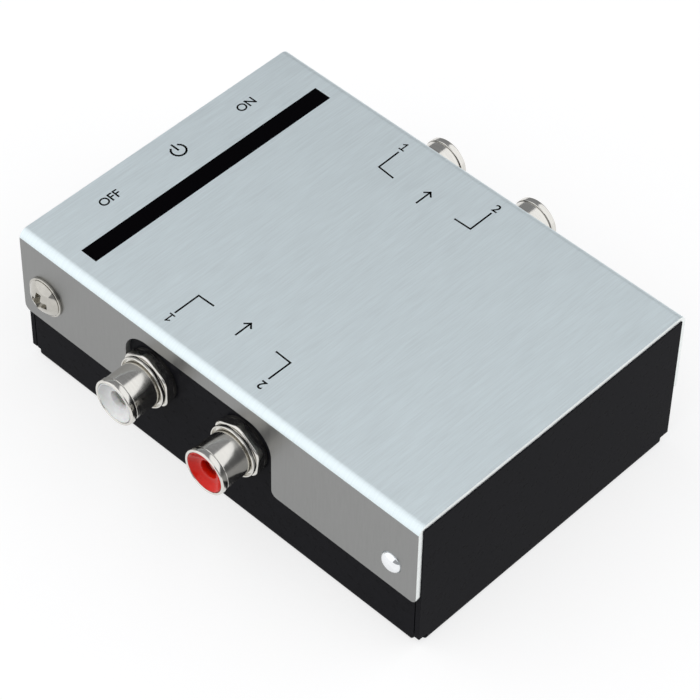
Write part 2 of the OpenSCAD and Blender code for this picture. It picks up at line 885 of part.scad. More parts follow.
module inlet_nut() {
    color([0.8, 0.79, 0.74])
        on_power_end(inlet_y, power_z)
            difference() {
                turned_hex(inlet_nut_af, 0, inlet_nut_t);
                round_bar(inlet_collar_d / 2 + fit_gap, -cut, inlet_nut_t + cut);
            }
}

module inlet_terminals() {
    color([0.8, 0.79, 0.74])
        on_power_end(inlet_y, power_z)
            for (s = [-1, 1])
                translate([s * inlet_terminal_x, 0, inlet_back - terminal_l / 2])
                    cube([terminal_w, terminal_t, terminal_l], center = true);
}

module circuit_board() {
    color([0.07, 0.3, 0.16])
        difference() {
            translate([-board_l / 2, -board_w / 2, board_z]) cube([board_l, board_w, board_t]);
            for (x = post_xs, y = post_ys)
                translate([x, y, 0])
                    round_bar(board_screw_d / 2 + hole_gap, board_z - cut, board_top + cut);
        }
}

// Posts with a spigot swaged into the floor
module board_posts() {
    color([0.78, 0.77, 0.72])
        for (x = post_xs, y = post_ys)
            translate([x, y, 0])
                difference() {
                    union() {
                        hex_bar(post_af, chassis_t, board_z);
                        round_bar(spigot_r, 0.1, chassis_t + 0.1);
                    }
                    round_bar(board_screw_d / 2 + fit_gap, chassis_t, board_z + cut);
                }
}

module board_screws() {
    // The screw ends a little above the chassis floor
    screw_end = 0.8 - board_t - post_h;
    color([0.78, 0.77, 0.72])
        for (x = post_xs, y = post_ys)
            translate([x, y, board_top]) {
                pan_head(board_screw_d * pan_ratio, board_screw_d * 0.6);
                round_bar(board_screw_d / 2, screw_end, 0.1);
            }
}

module cover_screws() {
    color([0.12, 0.12, 0.12])
        for (x = cover_screw_xs)
            on_output_wall(x, ground_z)
                translate([0, 0, cover_t]) {
                    pan_head(cover_screw_d * pan_ratio, cover_screw_d * 0.6);
                    round_bar(cover_screw_d / 2, -cover_t - chassis_t - cover_screw_l, 0.1);
                }
}

// Eight-pin package lying along X, with its notch at -X
module op_amp(x) {
    chip_w = 6.4;
    chip_h = 3.3;
    lift = 0.8;
    row_y = 3.81;
    color([0.09, 0.09, 0.1])
        translate([x, 0, board_top]) {
            difference() {
                translate([-chip_l / 2, -chip_w / 2, lift]) cube([chip_l, chip_w, chip_h]);
                translate([-chip_l / 2, 0, 0]) round_bar(0.9, lift + chip_h - 0.5, lift + chip_h + cut);
            }
            for (i = [0 : 3], s = [-1, 1]) {
                translate([(i - 1.5) * pin_pitch, s * row_y, 0]) {
                    translate([0, 0, 1.2]) cube([0.9, 0.3, 2.4], center = true);
                    translate([0, -s * 0.4, 2.3]) cube([0.9, 1, 0.3], center = true);
                }
            }
        }
}

module op_amp_left() {
    op_amp(jack_xs[0]);
}

module op_amp_right() {
    op_amp(jack_xs[1]);
}

// Can with a crimped waist and a scored top
module can(d, h) {
    r = d / 2;
    waist = 1.8;
    difference() {
        rotate_extrude($fn = round_fn)
            polygon([
                [0, 0],
                [r - 0.2, 0],
                [r, 0.3],
                [r, waist - 0.5],
                [r - 0.3, waist],
                [r, waist + 0.5],
                [r, h - 0.4],
                [r - 0.4, h],
                [0, h]
            ]);
        for (a = [0, 90])
            rotate([0, 0, a]) translate([0, 0, h]) cube([d * 0.6, 0.25, 0.4], center = true);
    }
}

module electrolytic_capacitors() {
    color([0.12, 0.14, 0.2]) {
        for (y = big_can_ys) translate([power_x, y, board_top]) can(can_big_d, can_big_h);
        for (x = jack_xs, s = [-1, 1])
            translate([x, s * small_can_y, board_top]) can(can_small_d, can_small_h);
        for (s = [-1, 1]) translate([far_x, s * 6, board_top]) can(can_small_d, can_small_h);
    }
}

module film_capacitors() {
    color([0.65, 0.16, 0.12])
        for (x = jack_xs, s = [-1, 1])
            translate([x + film_x, s * film_y, board_top + film_h / 2])
                cube([film_w, film_l, film_h], center = true);
}

// Resistor lying along X on two bent leads
module resistor(x, y) {
    lift = resistor_d / 2 + 0.5;
    cap_l = 1.8;
    half = resistor_l / 2;
    translate([x, y, board_top]) {
        translate([0, 0, lift])
            rotate([0, 90, 0]) {
                round_bar(resistor_d / 2 - 0.2, cap_l / 2 - half, half - cap_l / 2);
                for (z = [-half, half - cap_l]) round_bar(resistor_d / 2, z, z + cap_l);
                round_bar(lead_d / 2, -resistor_reach, resistor_reach);
            }
        for (s = [-1, 1])
            translate([s * (resistor_reach - lead_d / 2), 0, 0]) round_bar(lead_d / 2, 0, lift);
    }
}

module resistors() {
    color([0.35, 0.55, 0.7])
        for (i = [-1 : 1]) {
            resistor(jack_mid_x + jack_pitch, i * resistor_pitch);
            for (s = [-1, 1]) resistor(jack_mid_x, s * resistor_y + i * resistor_pitch);
        }
}

// Three-legged regulator standing up, with a metal tab above its body
module voltage_regulator() {
    reg_w = 10;
    reg_t = 4.4;
    reg_h = 8.5;
    tab_t = 1.2;
    tab_h = 5;
    leg_l = 3;
    leg_w = 0.8;
    color([0.1, 0.1, 0.11])
        translate([power_x, regulator_y, board_top]) {
            translate([-reg_w / 2, 0, leg_l]) cube([reg_w, reg_t, reg_h]);
            difference() {
                translate([-reg_w / 2, reg_t - tab_t, leg_l + reg_h - 1]) cube([reg_w, tab_t, tab_h + 1]);
                translate([0, reg_t + cut, leg_l + reg_h + tab_h / 2])
                    rotate([90, 0, 0]) cylinder(d = 3.4, h = tab_t + 2 * cut, $fn = round_fn);
            }
            for (i = [-1 : 1])
                translate([i * pin_pitch - leg_w / 2, reg_t / 2, 0]) cube([leg_w, 0.5, leg_l + 1]);
        }
}

module signal_wires() {
    color([0.75, 0.75, 0.72])
        at_jacks()
            translate([0, 0, contact_end]) drop_wire(wire_d, signal_run, signal_bend, jack_z - board_top);
}

module ground_wires() {
    drop = lug_drop;
    start = nut_front + lug_t;
    color([0.1, 0.1, 0.1]) {
        at_jacks()
            translate([0, -drop, start])
                drop_wire(wire_d, wire_run, wire_bend, jack_z - drop - board_top);
        on_input_wall(ground_x, ground_z)
            translate([0, -drop, start])
                drop_wire(wire_d, wire_run, wire_bend, ground_z - drop - board_top);
    }
}

module power_wires() {
    color([0.6, 0.1, 0.1]) {
        on_power_end(0, power_z)
            for (i = [0, 1])
                translate([i * terminal_pitch, 0, switch_back - terminal_l])
                    drop_wire(wire_d, power_run, power_bend, power_z - board_top);
        on_power_end(inlet_y, power_z)
            for (s = [-1, 1])
                translate([s * inlet_terminal_x, 0, inlet_back - terminal_l])
                    drop_wire(wire_d, power_run, power_bend, power_z - board_top);
    }
}

white_insulator = [0.92, 0.92, 0.9];
red_insulator = [0.75, 0.07, 0.06];

chassis();
cover();
on_input_wall(jack_xs[0], jack_z) jack_shell(hex_turns[0]);  // input_left_shell
on_input_wall(jack_xs[0], jack_z) jack_insulator(white_insulator);  // input_left_insulator
on_input_wall(jack_xs[0], jack_z) jack_contact();  // input_left_contact
on_input_wall(jack_xs[1], jack_z) jack_shell(hex_turns[1]);  // input_right_shell
on_input_wall(jack_xs[1], jack_z) jack_insulator(red_insulator);  // input_right_insulator
on_input_wall(jack_xs[1], jack_z) jack_contact();  // input_right_contact
on_output_wall(jack_xs[0], jack_z) jack_shell(hex_turns[0]);  // output_left_shell
on_output_wall(jack_xs[0], jack_z) jack_insulator(white_insulator);  // output_left_insulator
on_output_wall(jack_xs[0], jack_z) jack_contact();  // output_left_contact
on_output_wall(jack_xs[1], jack_z) jack_shell(hex_turns[1]);  // output_right_shell
on_output_wall(jack_xs[1], jack_z) jack_insulator(red_insulator);  // output_right_insulator
on_output_wall(jack_xs[1], jack_z) jack_contact();  // output_right_contact
jack_fibre_washers();
jack_solder_lugs();
jack_nuts();
ground_screw();
ground_washer();
ground_nut();
ground_lug();
lamp_lens();
power_lamp();
lamp_leads();
switch_frame();
switch_body();
switch_knob();
switch_terminals();
switch_screws();
inlet_body();
inlet_pin();
inlet_nut();
inlet_terminals();
circuit_board();
board_posts();
board_screws();
cover_screws();
op_amp_left();
op_amp_right();
electrolytic_capacitors();
film_capacitors();
resistors();
voltage_regulator();
signal_wires();
ground_wires();
power_wires();
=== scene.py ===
import math

import bmesh
import bpy
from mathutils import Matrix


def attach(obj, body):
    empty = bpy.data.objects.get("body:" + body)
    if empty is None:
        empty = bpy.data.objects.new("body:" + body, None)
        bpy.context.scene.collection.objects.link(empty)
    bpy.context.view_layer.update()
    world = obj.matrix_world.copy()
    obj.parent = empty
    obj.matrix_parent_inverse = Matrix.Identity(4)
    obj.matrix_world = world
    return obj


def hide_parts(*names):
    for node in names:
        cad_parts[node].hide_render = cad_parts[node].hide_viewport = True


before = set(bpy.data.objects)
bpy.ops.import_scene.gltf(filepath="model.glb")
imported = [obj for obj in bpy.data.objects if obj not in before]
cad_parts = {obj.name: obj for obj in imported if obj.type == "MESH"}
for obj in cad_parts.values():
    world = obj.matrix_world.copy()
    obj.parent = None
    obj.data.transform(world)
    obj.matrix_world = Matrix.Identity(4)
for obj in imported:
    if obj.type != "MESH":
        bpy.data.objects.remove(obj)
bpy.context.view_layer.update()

MM = 0.001

# ---- Studio
# A plain pale floor under two large soft lamps, one over the power end and one behind the right
# end, with the camera above the right end of the input side. Nothing here belongs to the preamp.
FLOOR_TONE, FLOOR_GLOW = 0.36, 0.7
ROOM_COLOR = (0.27, 0.274, 0.285)

bpy.ops.object.camera_add(
    location=(0.23776, -0.25399, 0.39399),
    rotation=[math.radians(angle) for angle in (42.2616, -0.7842, 43.9059)],
)
camera = bpy.context.object
camera.data.sensor_width = 36
camera.data.lens = 159.2
camera.data.clip_start = 0.01
bpy.context.scene.camera = camera
bpy.context.scene.view_settings.view_transform = "Standard"


def seen_directly(tree):
    """1 where the camera, a mirror-like surface or glass looks at this shader, otherwise 0."""
    path = tree.nodes.new("ShaderNodeLightPath")
    seen = path.outputs["Is Camera Ray"]
    for ray in ("Is Glossy Ray", "Is Transmission Ray"):
        either = tree.nodes.new("ShaderNodeMath")
        either.operation = "MAXIMUM"
        tree.links.new(seen, either.inputs[0])
        tree.links.new(path.outputs[ray], either.inputs[1])
        seen = either.outputs[0]
    return seen


def pale_floor():
    """A large plane that also glows where it is seen directly, so the background stays even."""
    bpy.ops.mesh.primitive_plane_add(size=6)
    floor = bpy.context.object
    floor.name = "floor"
    material = bpy.data.materials.new("pale_floor")
    material.use_nodes = True
    tree = material.node_tree
    paint = tree.nodes["Principled BSDF"]
    paint.inputs["Base Color"].default_value = (FLOOR_TONE, FLOOR_TONE, FLOOR_TONE, 1)
    paint.inputs["Roughness"].default_value = 1
    paint.inputs["Specular IOR Level"].default_value = 0
    paint.inputs["Emission Color"].default_value = (1, 1, 1, 1)
    level = tree.nodes.new("ShaderNodeMath")
    level.operation = "MULTIPLY"
    level.inputs[1].default_value = FLOOR_GLOW
    tree.links.new(seen_directly(tree), level.inputs[0])
    tree.links.new(level.outputs[0], paint.inputs["Emission Strength"])
    floor.data.materials.append(material)


def room_light():
    world = bpy.data.worlds.new("room")
    bpy.context.scene.world = world
    world.use_nodes = True
    world.node_tree.nodes["Background"].inputs["Color"].default_value = (*ROOM_COLOR, 1)


def soft_lamp(name, place, size, watts):
    """A square lamp that faces the preamp and isn't seen by the camera."""
    bpy.ops.object.light_add(type="AREA", location=place)
    lamp = bpy.context.object
    lamp.name = name
    lamp.data.size = size
    lamp.data.energy = watts
    lamp.rotation_euler = lamp.location.to_track_quat("Z", "Y").to_euler()
    lamp.visible_camera = False


pale_floor()
room_light()
soft_lamp("key_lamp", (-0.44, -0.7, 0.74), size=2.4, watts=16.2)
soft_lamp("right_lamp", (0.66, 0.6, 0.7), size=1.9, watts=9.8)


# ---- Chassis
# One blank of 1 mm sheet steel folded up on four sides and painted semi-gloss black. The corners
# are notched below and left open as narrow seams, and everything else is fixed to its walls.
CASE_LONG, CASE_WIDE, CASE_HIGH = 90.4, 61.0, 29.0
SHEET = 1.0
FLOOR_BEND = 1.3
NOTCH = 1.9
LONG_WALL_END = 44.0
JACK_X = (-14.2, 6.6)
JACK_Z = 18.5
GROUND_X, GROUND_Z = -39.2, 18.8
LAMP_X, LAMP_Z = 39.6, 17.7
POWER_Z = 15.5
INLET_Y = 20.0
SWITCH_SCREW_Y = 9.5
SWITCH_SLOT_LONG, SWITCH_SLOT_HIGH = 9.0, 4.6
WALL_TURNS = {"input": (90, 0, 0), "output": (90, 0, 180), "power": (90, 0, -90)}

# The radii of the round holes. The cover's screws stand at GROUND_X and opposite, at -GROUND_X.
JACK_HOLE, GROUND_HOLE, LAMP_HOLE, COVER_SCREW_HOLE = 3.375, 2.2, 1.55, 1.55
INLET_HOLE, SWITCH_SCREW_HOLE = 4.15, 1.45


def deselect():
    bpy.ops.object.select_all(action="DESELECT")


def named(name):
    """Give the new piece its name and settle its place in its mesh."""
    piece = bpy.context.object
    piece.name = piece.data.name = name
    bpy.ops.object.transform_apply(location=True, rotation=True, scale=True)
    return piece


def activate(piece):
    deselect()
    piece.select_set(True)
    bpy.context.view_layer.objects.active = piece


def box(name, low, high):
    """A block between two corners, in millimetres."""
    deselect()
    middle = [(start + end) / 2 * MM for start, end in zip(low, high)]
    bpy.ops.mesh.primitive_cube_add(size=1, location=middle)
    bpy.context.object.scale = [(end - start) * MM for start, end in zip(low, high)]
    return named(name)


def edit(kind="FACE"):
    bpy.ops.object.mode_set(mode="EDIT")
    bpy.ops.mesh.select_mode(type=kind)
    bpy.ops.mesh.select_all(action="DESELECT")


def done():
    bpy.ops.object.mode_set(mode="OBJECT")


def pick(kind, wanted):
    """Select what wanted(place in mm, direction) accepts: a normal, or the run of an edge."""
    bpy.ops.mesh.select_mode(type=kind)
    bpy.ops.mesh.select_all(action="DESELECT")
    data = bpy.context.object.data
    mesh = bmesh.from_edit_mesh(data)
    if kind == "FACE":
        found = [face for face in mesh.faces if wanted(face.calc_center_median() / MM, face.normal)]
    elif kind == "EDGE":
        found = []
        for edge in mesh.edges:
            start, end = (vert.co for vert in edge.verts)
            if wanted((start + end) / 2 / MM, end - start):
                found.append(edge)
    else:
        found = [vert for vert in mesh.verts if wanted(vert.co / MM, vert.normal)]
    for element in found:
        element.select_set(True)
    mesh.select_flush_mode()
    bmesh.update_edit_mesh(data)


def cut_plane(place, normal):
    """Cut the selected faces along a plane through a place given in millimetres."""
    bpy.ops.mesh.bisect(plane_co=[value * MM for value in place], plane_no=normal)


def apply_modifier(piece, kind, **settings):
    activate(piece)
    modifier = piece.modifiers.new(kind.lower(), kind)
    for key, value in settings.items():
        setattr(modifier, key, value)
    bpy.ops.object.modifier_apply(modifier=modifier.name)


def combine(piece, others, operation="DIFFERENCE"):
    """Cut the others out of the piece, or join them to it, and remove them."""
    for other in others:
        apply_modifier(piece, "BOOLEAN", operation=operation, object=other, solver="EXACT")
        bpy.data.objects.remove(other)


def soften(piece, width, angle=35, steps=2, material=-1):
    """Round over the edges sharper than the angle; material is the slot of the new faces."""
    apply_modifier(
        piece, "BEVEL", width=width * MM, segments=steps, limit_method="ANGLE",
        angle_limit=math.radians(angle), material=material, harden_normals=False,
    )


def smooth(piece, angle=32):
    activate(piece)
    bpy.ops.object.shade_smooth_by_angle(angle=math.radians(angle))
    apply_modifier(piece, "WEIGHTED_NORMAL", keep_sharp=True)


def place_on(piece, wall, x, z):
    """Move a piece that was made standing on the XY plane to a wall, its +Z pointing outwards."""
    activate(piece)
    place = {
        "input": (x, -CASE_WIDE / 2, z),
        "output": (x, CASE_WIDE / 2, z),
        "power": (-CASE_LONG / 2, x, z),
    }[wall]
    piece.rotation_euler = [math.radians(turn) for turn in WALL_TURNS[wall]]
    piece.location = [value * MM for value in place]
    bpy.ops.object.transform_apply(location=True, rotation=True, scale=True)
    return piece


def rod(radius, low, high):
    """A plain round bar for cutting holes."""
    deselect()
    bpy.ops.mesh.primitive_cylinder_add(
        vertices=64, radius=radius * MM, depth=(high - low) * MM,
        location=(0, 0, (low + high) / 2 * MM),
    )
    return named("cutter")


def hole_cutters(holes, low, high):
    """Round cutters through the walls, one for each (radius, wall, x, z)."""
    return [place_on(rod(radius, low, high), *place) for radius, *place in holes]


def speckle_group():
    """Fine even mottle of paint, plastic and cast resin."""
    group = bpy.data.node_groups.new("speckle", "ShaderNodeTree")
    group.interface.new_socket("Scale", in_out="INPUT", socket_type="NodeSocketFloat")
    group.interface.new_socket("Speckle", in_out="OUTPUT", socket_type="NodeSocketFloat")
    nodes, links = group.nodes, group.links
    inside, outside = nodes.new("NodeGroupInput"), nodes.new("NodeGroupOutput")
    place = nodes.new("ShaderNodeTexCoord")
    noise = nodes.new("ShaderNodeTexNoise")
    noise.inputs["Detail"].default_value = 3
    links.new(place.outputs["Object"], noise.inputs["Vector"])
    links.new(inside.outputs["Scale"], noise.inputs["Scale"])
    links.new(noise.outputs["Fac"], outside.inputs["Speckle"])
    return group


speckle = speckle_group()
MASK_LOW, MASK_HIGH = 0.3, 0.7


class Finish:
    """A material under construction: its Principled shader and the pattern nodes that feed it."""

    def __init__(self, name, color, roughness, metallic=0.0, **constants):
        self.material = bpy.data.materials.new(name)
        self.material.use_nodes = True
        self.tree = self.material.node_tree
        self.shader = self.tree.nodes["Principled BSDF"]
        self.color = color
        self.socket("Base Color").default_value = (*color, 1)
        self.socket("Metallic").default_value = metallic
        self.socket("Roughness").default_value = roughness
        for key, value in constants.items():
            self.socket(key.replace("_", " ")).default_value = value

    def socket(self, name):
        return self.shader.inputs[name]

    def pattern(self, group, **values):
        """Place a shared pattern with its own values and return its output."""
        node = self.tree.nodes.new("ShaderNodeGroup")
        node.node_tree = group
        for key, value in values.items():
            node.inputs[key].default_value = value
        return node.outputs[0]

    def tint(self, mask, dark, light):
        """Let the mask take the colour from dark to light times the base colour."""
        span = self.span(mask, MASK_LOW, MASK_HIGH, 0, 1)
        mix = self.tree.nodes.new("ShaderNodeMix")
        mix.data_type = "RGBA"
        mix.inputs["A"].default_value = (*(channel * dark for channel in self.color), 1)
        mix.inputs["B"].default_value = (*(channel * light for channel in self.color), 1)
        self.tree.links.new(span, mix.inputs["Factor"])
        self.tree.links.new(mix.outputs["Result"], self.socket("Base Color"))

    def span(self, mask, low, high, to_low, to_high):
        """Map the mask's low and high to two other values."""
        node = self.tree.nodes.new("ShaderNodeMapRange")
        limits = {"From Min": low, "From Max": high, "To Min": to_low, "To Max": to_high}
        for key, value in limits.items():
            node.inputs[key].default_value = value
        self.tree.links.new(mask, node.inputs["Value"])
        return node.outputs["Result"]

    def rough(self, mask, low, high):
        span = self.span(mask, MASK_LOW, MASK_HIGH, low, high)
        self.tree.links.new(span, self.socket("Roughness"))

    def bump(self, mask, strength, depth):
        node = self.tree.nodes.new("ShaderNodeBump")
        node.inputs["Strength"].default_value = strength
        node.inputs["Distance"].default_value = depth * MM
        self.tree.links.new(mask, node.inputs["Height"])
        self.tree.links.new(node.outputs["Normal"], self.socket("Normal"))


def dress(piece, *finishes):
    piece.data.materials.clear()
    for finish in finishes:
        piece.data.materials.append(finish.material)


def dress_node(name, finish):
    """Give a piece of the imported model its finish; its shape stays."""
    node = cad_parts[name]
    for slot in node.material_slots:
        slot.material = finish.material


black_paint = Finish("black_paint", (0.013, 0.013, 0.0155), roughness=0.34, IOR=1.06)
paint_mottle = black_paint.pattern(speckle, Scale=900)
black_paint.tint(paint_mottle, 0.85, 1.15)
black_paint.rough(paint_mottle, 0.26, 0.36)
black_paint.bump(paint_mottle, 0.15, 0.02)


def fold_chassis():
    half_long, half_wide = CASE_LONG / 2, CASE_WIDE / 2
    piece = box("chassis_sheet", (-half_long, -half_wide, 0), (half_long, half_wide, CASE_HIGH))
    activate(piece)
    edit()
    pick("FACE", lambda place, normal: normal.z > 0.9)
    bpy.ops.mesh.delete(type="FACE")
    pick("EDGE", lambda place, run: place.z < 0.01)
    bpy.ops.mesh.bevel(offset=FLOOR_BEND * MM, segments=6, profile=0.5, affect="EDGES")
    end_x, end_y = half_long - NOTCH, half_wide - NOTCH
    for place, normal in (
        ((end_x, 0, 0), (1, 0, 0)), ((-end_x, 0, 0), (1, 0, 0)),
        ((0, end_y, 0), (0, 1, 0)), ((0, -end_y, 0), (0, 1, 0)), ((0, 0, NOTCH), (0, 0, 1)),
        ((LONG_WALL_END, 0, 0), (1, 0, 0)), ((-LONG_WALL_END, 0, 0), (1, 0, 0)),
    ):
        bpy.ops.mesh.select_all(action="SELECT")
        cut_plane(place, normal)
    pick(
        "FACE",
        lambda place, normal: abs(place.x) > end_x and abs(place.y) > end_y and place.z < NOTCH,
    )
    bpy.ops.mesh.delete(type="FACE")
    pick("FACE", lambda place, normal: abs(normal.y) > 0.9 and abs(place.x) > LONG_WALL_END)
    bpy.ops.mesh.delete(type="FACE")
    bpy.ops.mesh.select_all(action="SELECT")
    bpy.ops.mesh.dissolve_limited(angle_limit=math.radians(1))
    done()
    apply_modifier(piece, "SOLIDIFY", thickness=SHEET * MM, offset=-1, use_even_offset=True)
    cutters = hole_cutters([
        *((JACK_HOLE, wall, x, JACK_Z) for wall in ("input", "output") for x in JACK_X),
        (GROUND_HOLE, "input", GROUND_X, GROUND_Z),
        (LAMP_HOLE, "input", LAMP_X, LAMP_Z),
        (COVER_SCREW_HOLE, "output", GROUND_X, GROUND_Z),
        (COVER_SCREW_HOLE, "output", -GROUND_X, GROUND_Z),
        (INLET_HOLE, "power", INLET_Y, POWER_Z),
        (SWITCH_SCREW_HOLE, "power", -SWITCH_SCREW_Y, POWER_Z),
        (SWITCH_SCREW_HOLE, "power", SWITCH_SCREW_Y, POWER_Z),
    ], low=-2, high=1)
    cutters.append(box(
        "cutter",
        (-47, -SWITCH_SLOT_LONG / 2, POWER_Z - SWITCH_SLOT_HIGH / 2),
        (-43, SWITCH_SLOT_LONG / 2, POWER_Z + SWITCH_SLOT_HIGH / 2),
    ))
    combine(piece, cutters)
    soften(piece, 0.08)
    smooth(piece)
    return piece


chassis = fold_chassis()
dress(chassis, black_paint)
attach(chassis, "case")
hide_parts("chassis")


# ---- Posts, circuit board and its screws
# Hexagonal steel posts swaged into the floor carry a green-masked fibreglass board, held down by
# four zinc-plated pan-head screws.
tinned_steel = Finish("tinned_steel", (0.62, 0.61, 0.58), metallic=1, roughness=0.3)
tin_mottle = tinned_steel.pattern(speckle, Scale=1500)
tinned_steel.tint(tin_mottle, 0.82, 1.1)
tinned_steel.rough(tin_mottle, 0.22, 0.4)


def grain_group():
    """Streaks drawn out along one axis, as brushing or turning leaves them."""
    group = bpy.data.node_groups.new("drawn_grain", "ShaderNodeTree")
    group.interface.new_socket("Stretch", in_out="INPUT", socket_type="NodeSocketVector")
    group.interface.new_socket("Streak", in_out="OUTPUT", socket_type="NodeSocketFloat")
    nodes, links = group.nodes, group.links
    inside, outside = nodes.new("NodeGroupInput"), nodes.new("NodeGroupOutput")
    place = nodes.new("ShaderNodeTexCoord")
    stretch = nodes.new("ShaderNodeVectorMath")
    stretch.operation = "MULTIPLY"
    noise = nodes.new("ShaderNodeTexNoise")
    noise.inputs["Scale"].default_value = 1
    noise.inputs["Detail"].default_value = 4
    noise.inputs["Roughness"].default_value = 0.65
    links.new(place.outputs["Object"], stretch.inputs[0])
    links.new(inside.outputs["Stretch"], stretch.inputs[1])
    links.new(stretch.outputs["Vector"], noise.inputs["Vector"])
    links.new(noise.outputs["Fac"], outside.inputs["Streak"])
    return group


drawn_grain = grain_group()

board_mask = Finish("board_mask", (0.02, 0.16, 0.065), roughness=0.32, Coat_Weight=0.3)
weave = board_mask.pattern(drawn_grain, Stretch=(1800, 1800, 200))
board_mask.tint(weave, 0.75, 1.2)
board_mask.rough(weave, 0.26, 0.4)
board_mask.bump(weave, 0.2, 0.03)

dress_node("board_posts", tinned_steel)
dress_node("circuit_board", board_mask)
dress_node("board_screws", tinned_steel)


# ---- Chips and voltage regulator
# Two eight-pin packages and an upright regulator in moulded black epoxy. Their tinned legs and the
# regulator's tab are bare metal.
def above(finish, axis, limit, absolute=False):
    """1 where the piece lies past a height or distance along an axis, in metres."""
    nodes, links = finish.tree.nodes, finish.tree.links
    place, split = nodes.new("ShaderNodeTexCoord"), nodes.new("ShaderNodeSeparateXYZ")
    links.new(place.outputs["Object"], split.inputs[0])
    value = split.outputs[axis]
    for operation, other in (("ABSOLUTE", None), ("GREATER_THAN", limit)):
        if operation == "ABSOLUTE" and not absolute:
            continue
        step = nodes.new("ShaderNodeMath")
        step.operation = operation
        if other is not None:
            step.inputs[1].default_value = other
        links.new(value, step.inputs[0])
        value = step.outputs[0]
    return value


def bare_metal(finish, mask, color, roughness):
    """Where the mask is 1 the piece is bare metal instead of its own finish."""
    nodes, links = finish.tree.nodes, finish.tree.links
    mix = nodes.new("ShaderNodeMix")
    mix.data_type = "RGBA"
    old = finish.socket("Base Color").links[0].from_socket
    links.new(old, mix.inputs["A"])
    mix.inputs["B"].default_value = (*color, 1)
    links.new(mask, mix.inputs["Factor"])
    links.new(mix.outputs["Result"], finish.socket("Base Color"))
    links.new(mask, finish.socket("Metallic"))
    old_roughness = finish.socket("Roughness").default_value
    links.new(finish.span(mask, 0, 1, old_roughness, roughness), finish.socket("Roughness"))


def moulded_epoxy(name):
    epoxy = Finish(name, (0.022, 0.022, 0.025), roughness=0.5)
    mottle = epoxy.pattern(speckle, Scale=2500)
    epoxy.tint(mottle, 0.7, 1.3)
    epoxy.bump(mottle, 0.3, 0.03)
    return epoxy


BOARD_TOP = 7.2
CHIP_HALF_WIDTH = 3.25
REGULATOR_TAB_LOW = BOARD_TOP + 11.5

chip_epoxy = moulded_epoxy("chip_epoxy")
chip_legs = above(chip_epoxy, "Y", CHIP_HALF_WIDTH * MM, absolute=True)
bare_metal(chip_epoxy, chip_legs, (0.6, 0.6, 0.57), 0.3)
dress_node("op_amp_left", chip_epoxy)
dress_node("op_amp_right", chip_epoxy)

regulator_epoxy = moulded_epoxy("regulator_epoxy")
regulator_tab = above(regulator_epoxy, "Z", REGULATOR_TAB_LOW * MM)
bare_metal(regulator_epoxy, regulator_tab, (0.55, 0.55, 0.53), 0.35)
dress_node("voltage_regulator", regulator_epoxy)


# ---- Capacitors and resistors
# Electrolytic cans in shrunk dark-blue sleeves with bare scored tops, dipped red film capacitors,
# and lacquered blue resistors with colour bands.
def facing_up(finish):
    """1 where the surface looks up, as the bare top of a can does."""
    nodes, links = finish.tree.nodes, finish.tree.links
    geometry, split = nodes.new("ShaderNodeNewGeometry"), nodes.new("ShaderNodeSeparateXYZ")
    step = nodes.new("ShaderNodeMath")
    step.operation = "GREATER_THAN"
    step.inputs[1].default_value = 0.9
    links.new(geometry.outputs["Normal"], split.inputs[0])
    links.new(split.outputs["Z"], step.inputs[0])
    return step.outputs[0]


can_sleeve = Finish("can_sleeve", (0.02, 0.03, 0.09), roughness=0.25)
sleeve_mottle = can_sleeve.pattern(speckle, Scale=700)
can_sleeve.tint(sleeve_mottle, 0.85, 1.15)
bare_metal(can_sleeve, facing_up(can_sleeve), (0.68, 0.69, 0.7), 0.35)
dress_node("electrolytic_capacitors", can_sleeve)

film_dip = Finish("film_dip", (0.42, 0.04, 0.025), roughness=0.28)
dip_mottle = film_dip.pattern(speckle, Scale=500)
film_dip.tint(dip_mottle, 0.85, 1.12)
film_dip.bump(dip_mottle, 0.25, 0.1)
dress_node("film_capacitors", film_dip)

RESISTOR_X, RESISTOR_PITCH = -3.8, 20.8
resistor_lacquer = Finish("resistor_lacquer", (0.1, 0.3, 0.45), roughness=0.35)


def band_resistors(finish):
    """Colour bands across both rows of resistors, which lie one jack pitch apart."""
    nodes, links = finish.tree.nodes, finish.tree.links
    place, split = nodes.new("ShaderNodeTexCoord"), nodes.new("ShaderNodeSeparateXYZ")
    shift, wrap = nodes.new("ShaderNodeMath"), nodes.new("ShaderNodeMath")
    shift.inputs[1].default_value = (RESISTOR_PITCH * 3 / 2 - RESISTOR_X) * MM
    wrap.operation = "MODULO"
    wrap.inputs[1].default_value = RESISTOR_PITCH * MM
    links.new(place.outputs["Object"], split.inputs[0])
    links.new(split.outputs["X"], shift.inputs[0])
    links.new(shift.outputs[0], wrap.inputs[0])
    ramp = nodes.new("ShaderNodeValToRGB")
    ramp.color_ramp.interpolation = "CONSTANT"
    lacquer, tin = (*finish.color, 1), (0.6, 0.6, 0.57, 1)
    brown, black = (0.25, 0.05, 0.01, 1), (0.01, 0.01, 0.01, 1)
    orange, gold = (0.5, 0.1, 0.01, 1), (0.3, 0.2, 0.03, 1)
    bands = [
        (0, tin), (6.6, lacquer), (8.1, brown), (8.9, lacquer), (9.5, black), (10.2, lacquer),
        (10.9, orange), (11.6, lacquer), (12.6, gold), (13.3, lacquer), (13.6, tin),
    ]
    stops = ramp.color_ramp.elements
    for index, (place_mm, color) in enumerate(bands):
        stop = stops[index] if index < 2 else stops.new(1)
        stop.position, stop.color = place_mm / RESISTOR_PITCH, color
    links.new(finish.span(wrap.outputs[0], 0, RESISTOR_PITCH * MM, 0, 1), ramp.inputs["Fac"])
    links.new(ramp.outputs["Color"], finish.socket("Base Color"))


band_resistors(resistor_lacquer)
lacquer_mottle = resistor_lacquer.pattern(speckle, Scale=1500)
resistor_lacquer.rough(lacquer_mottle, 0.28, 0.42)
dress_node("resistors", resistor_lacquer)


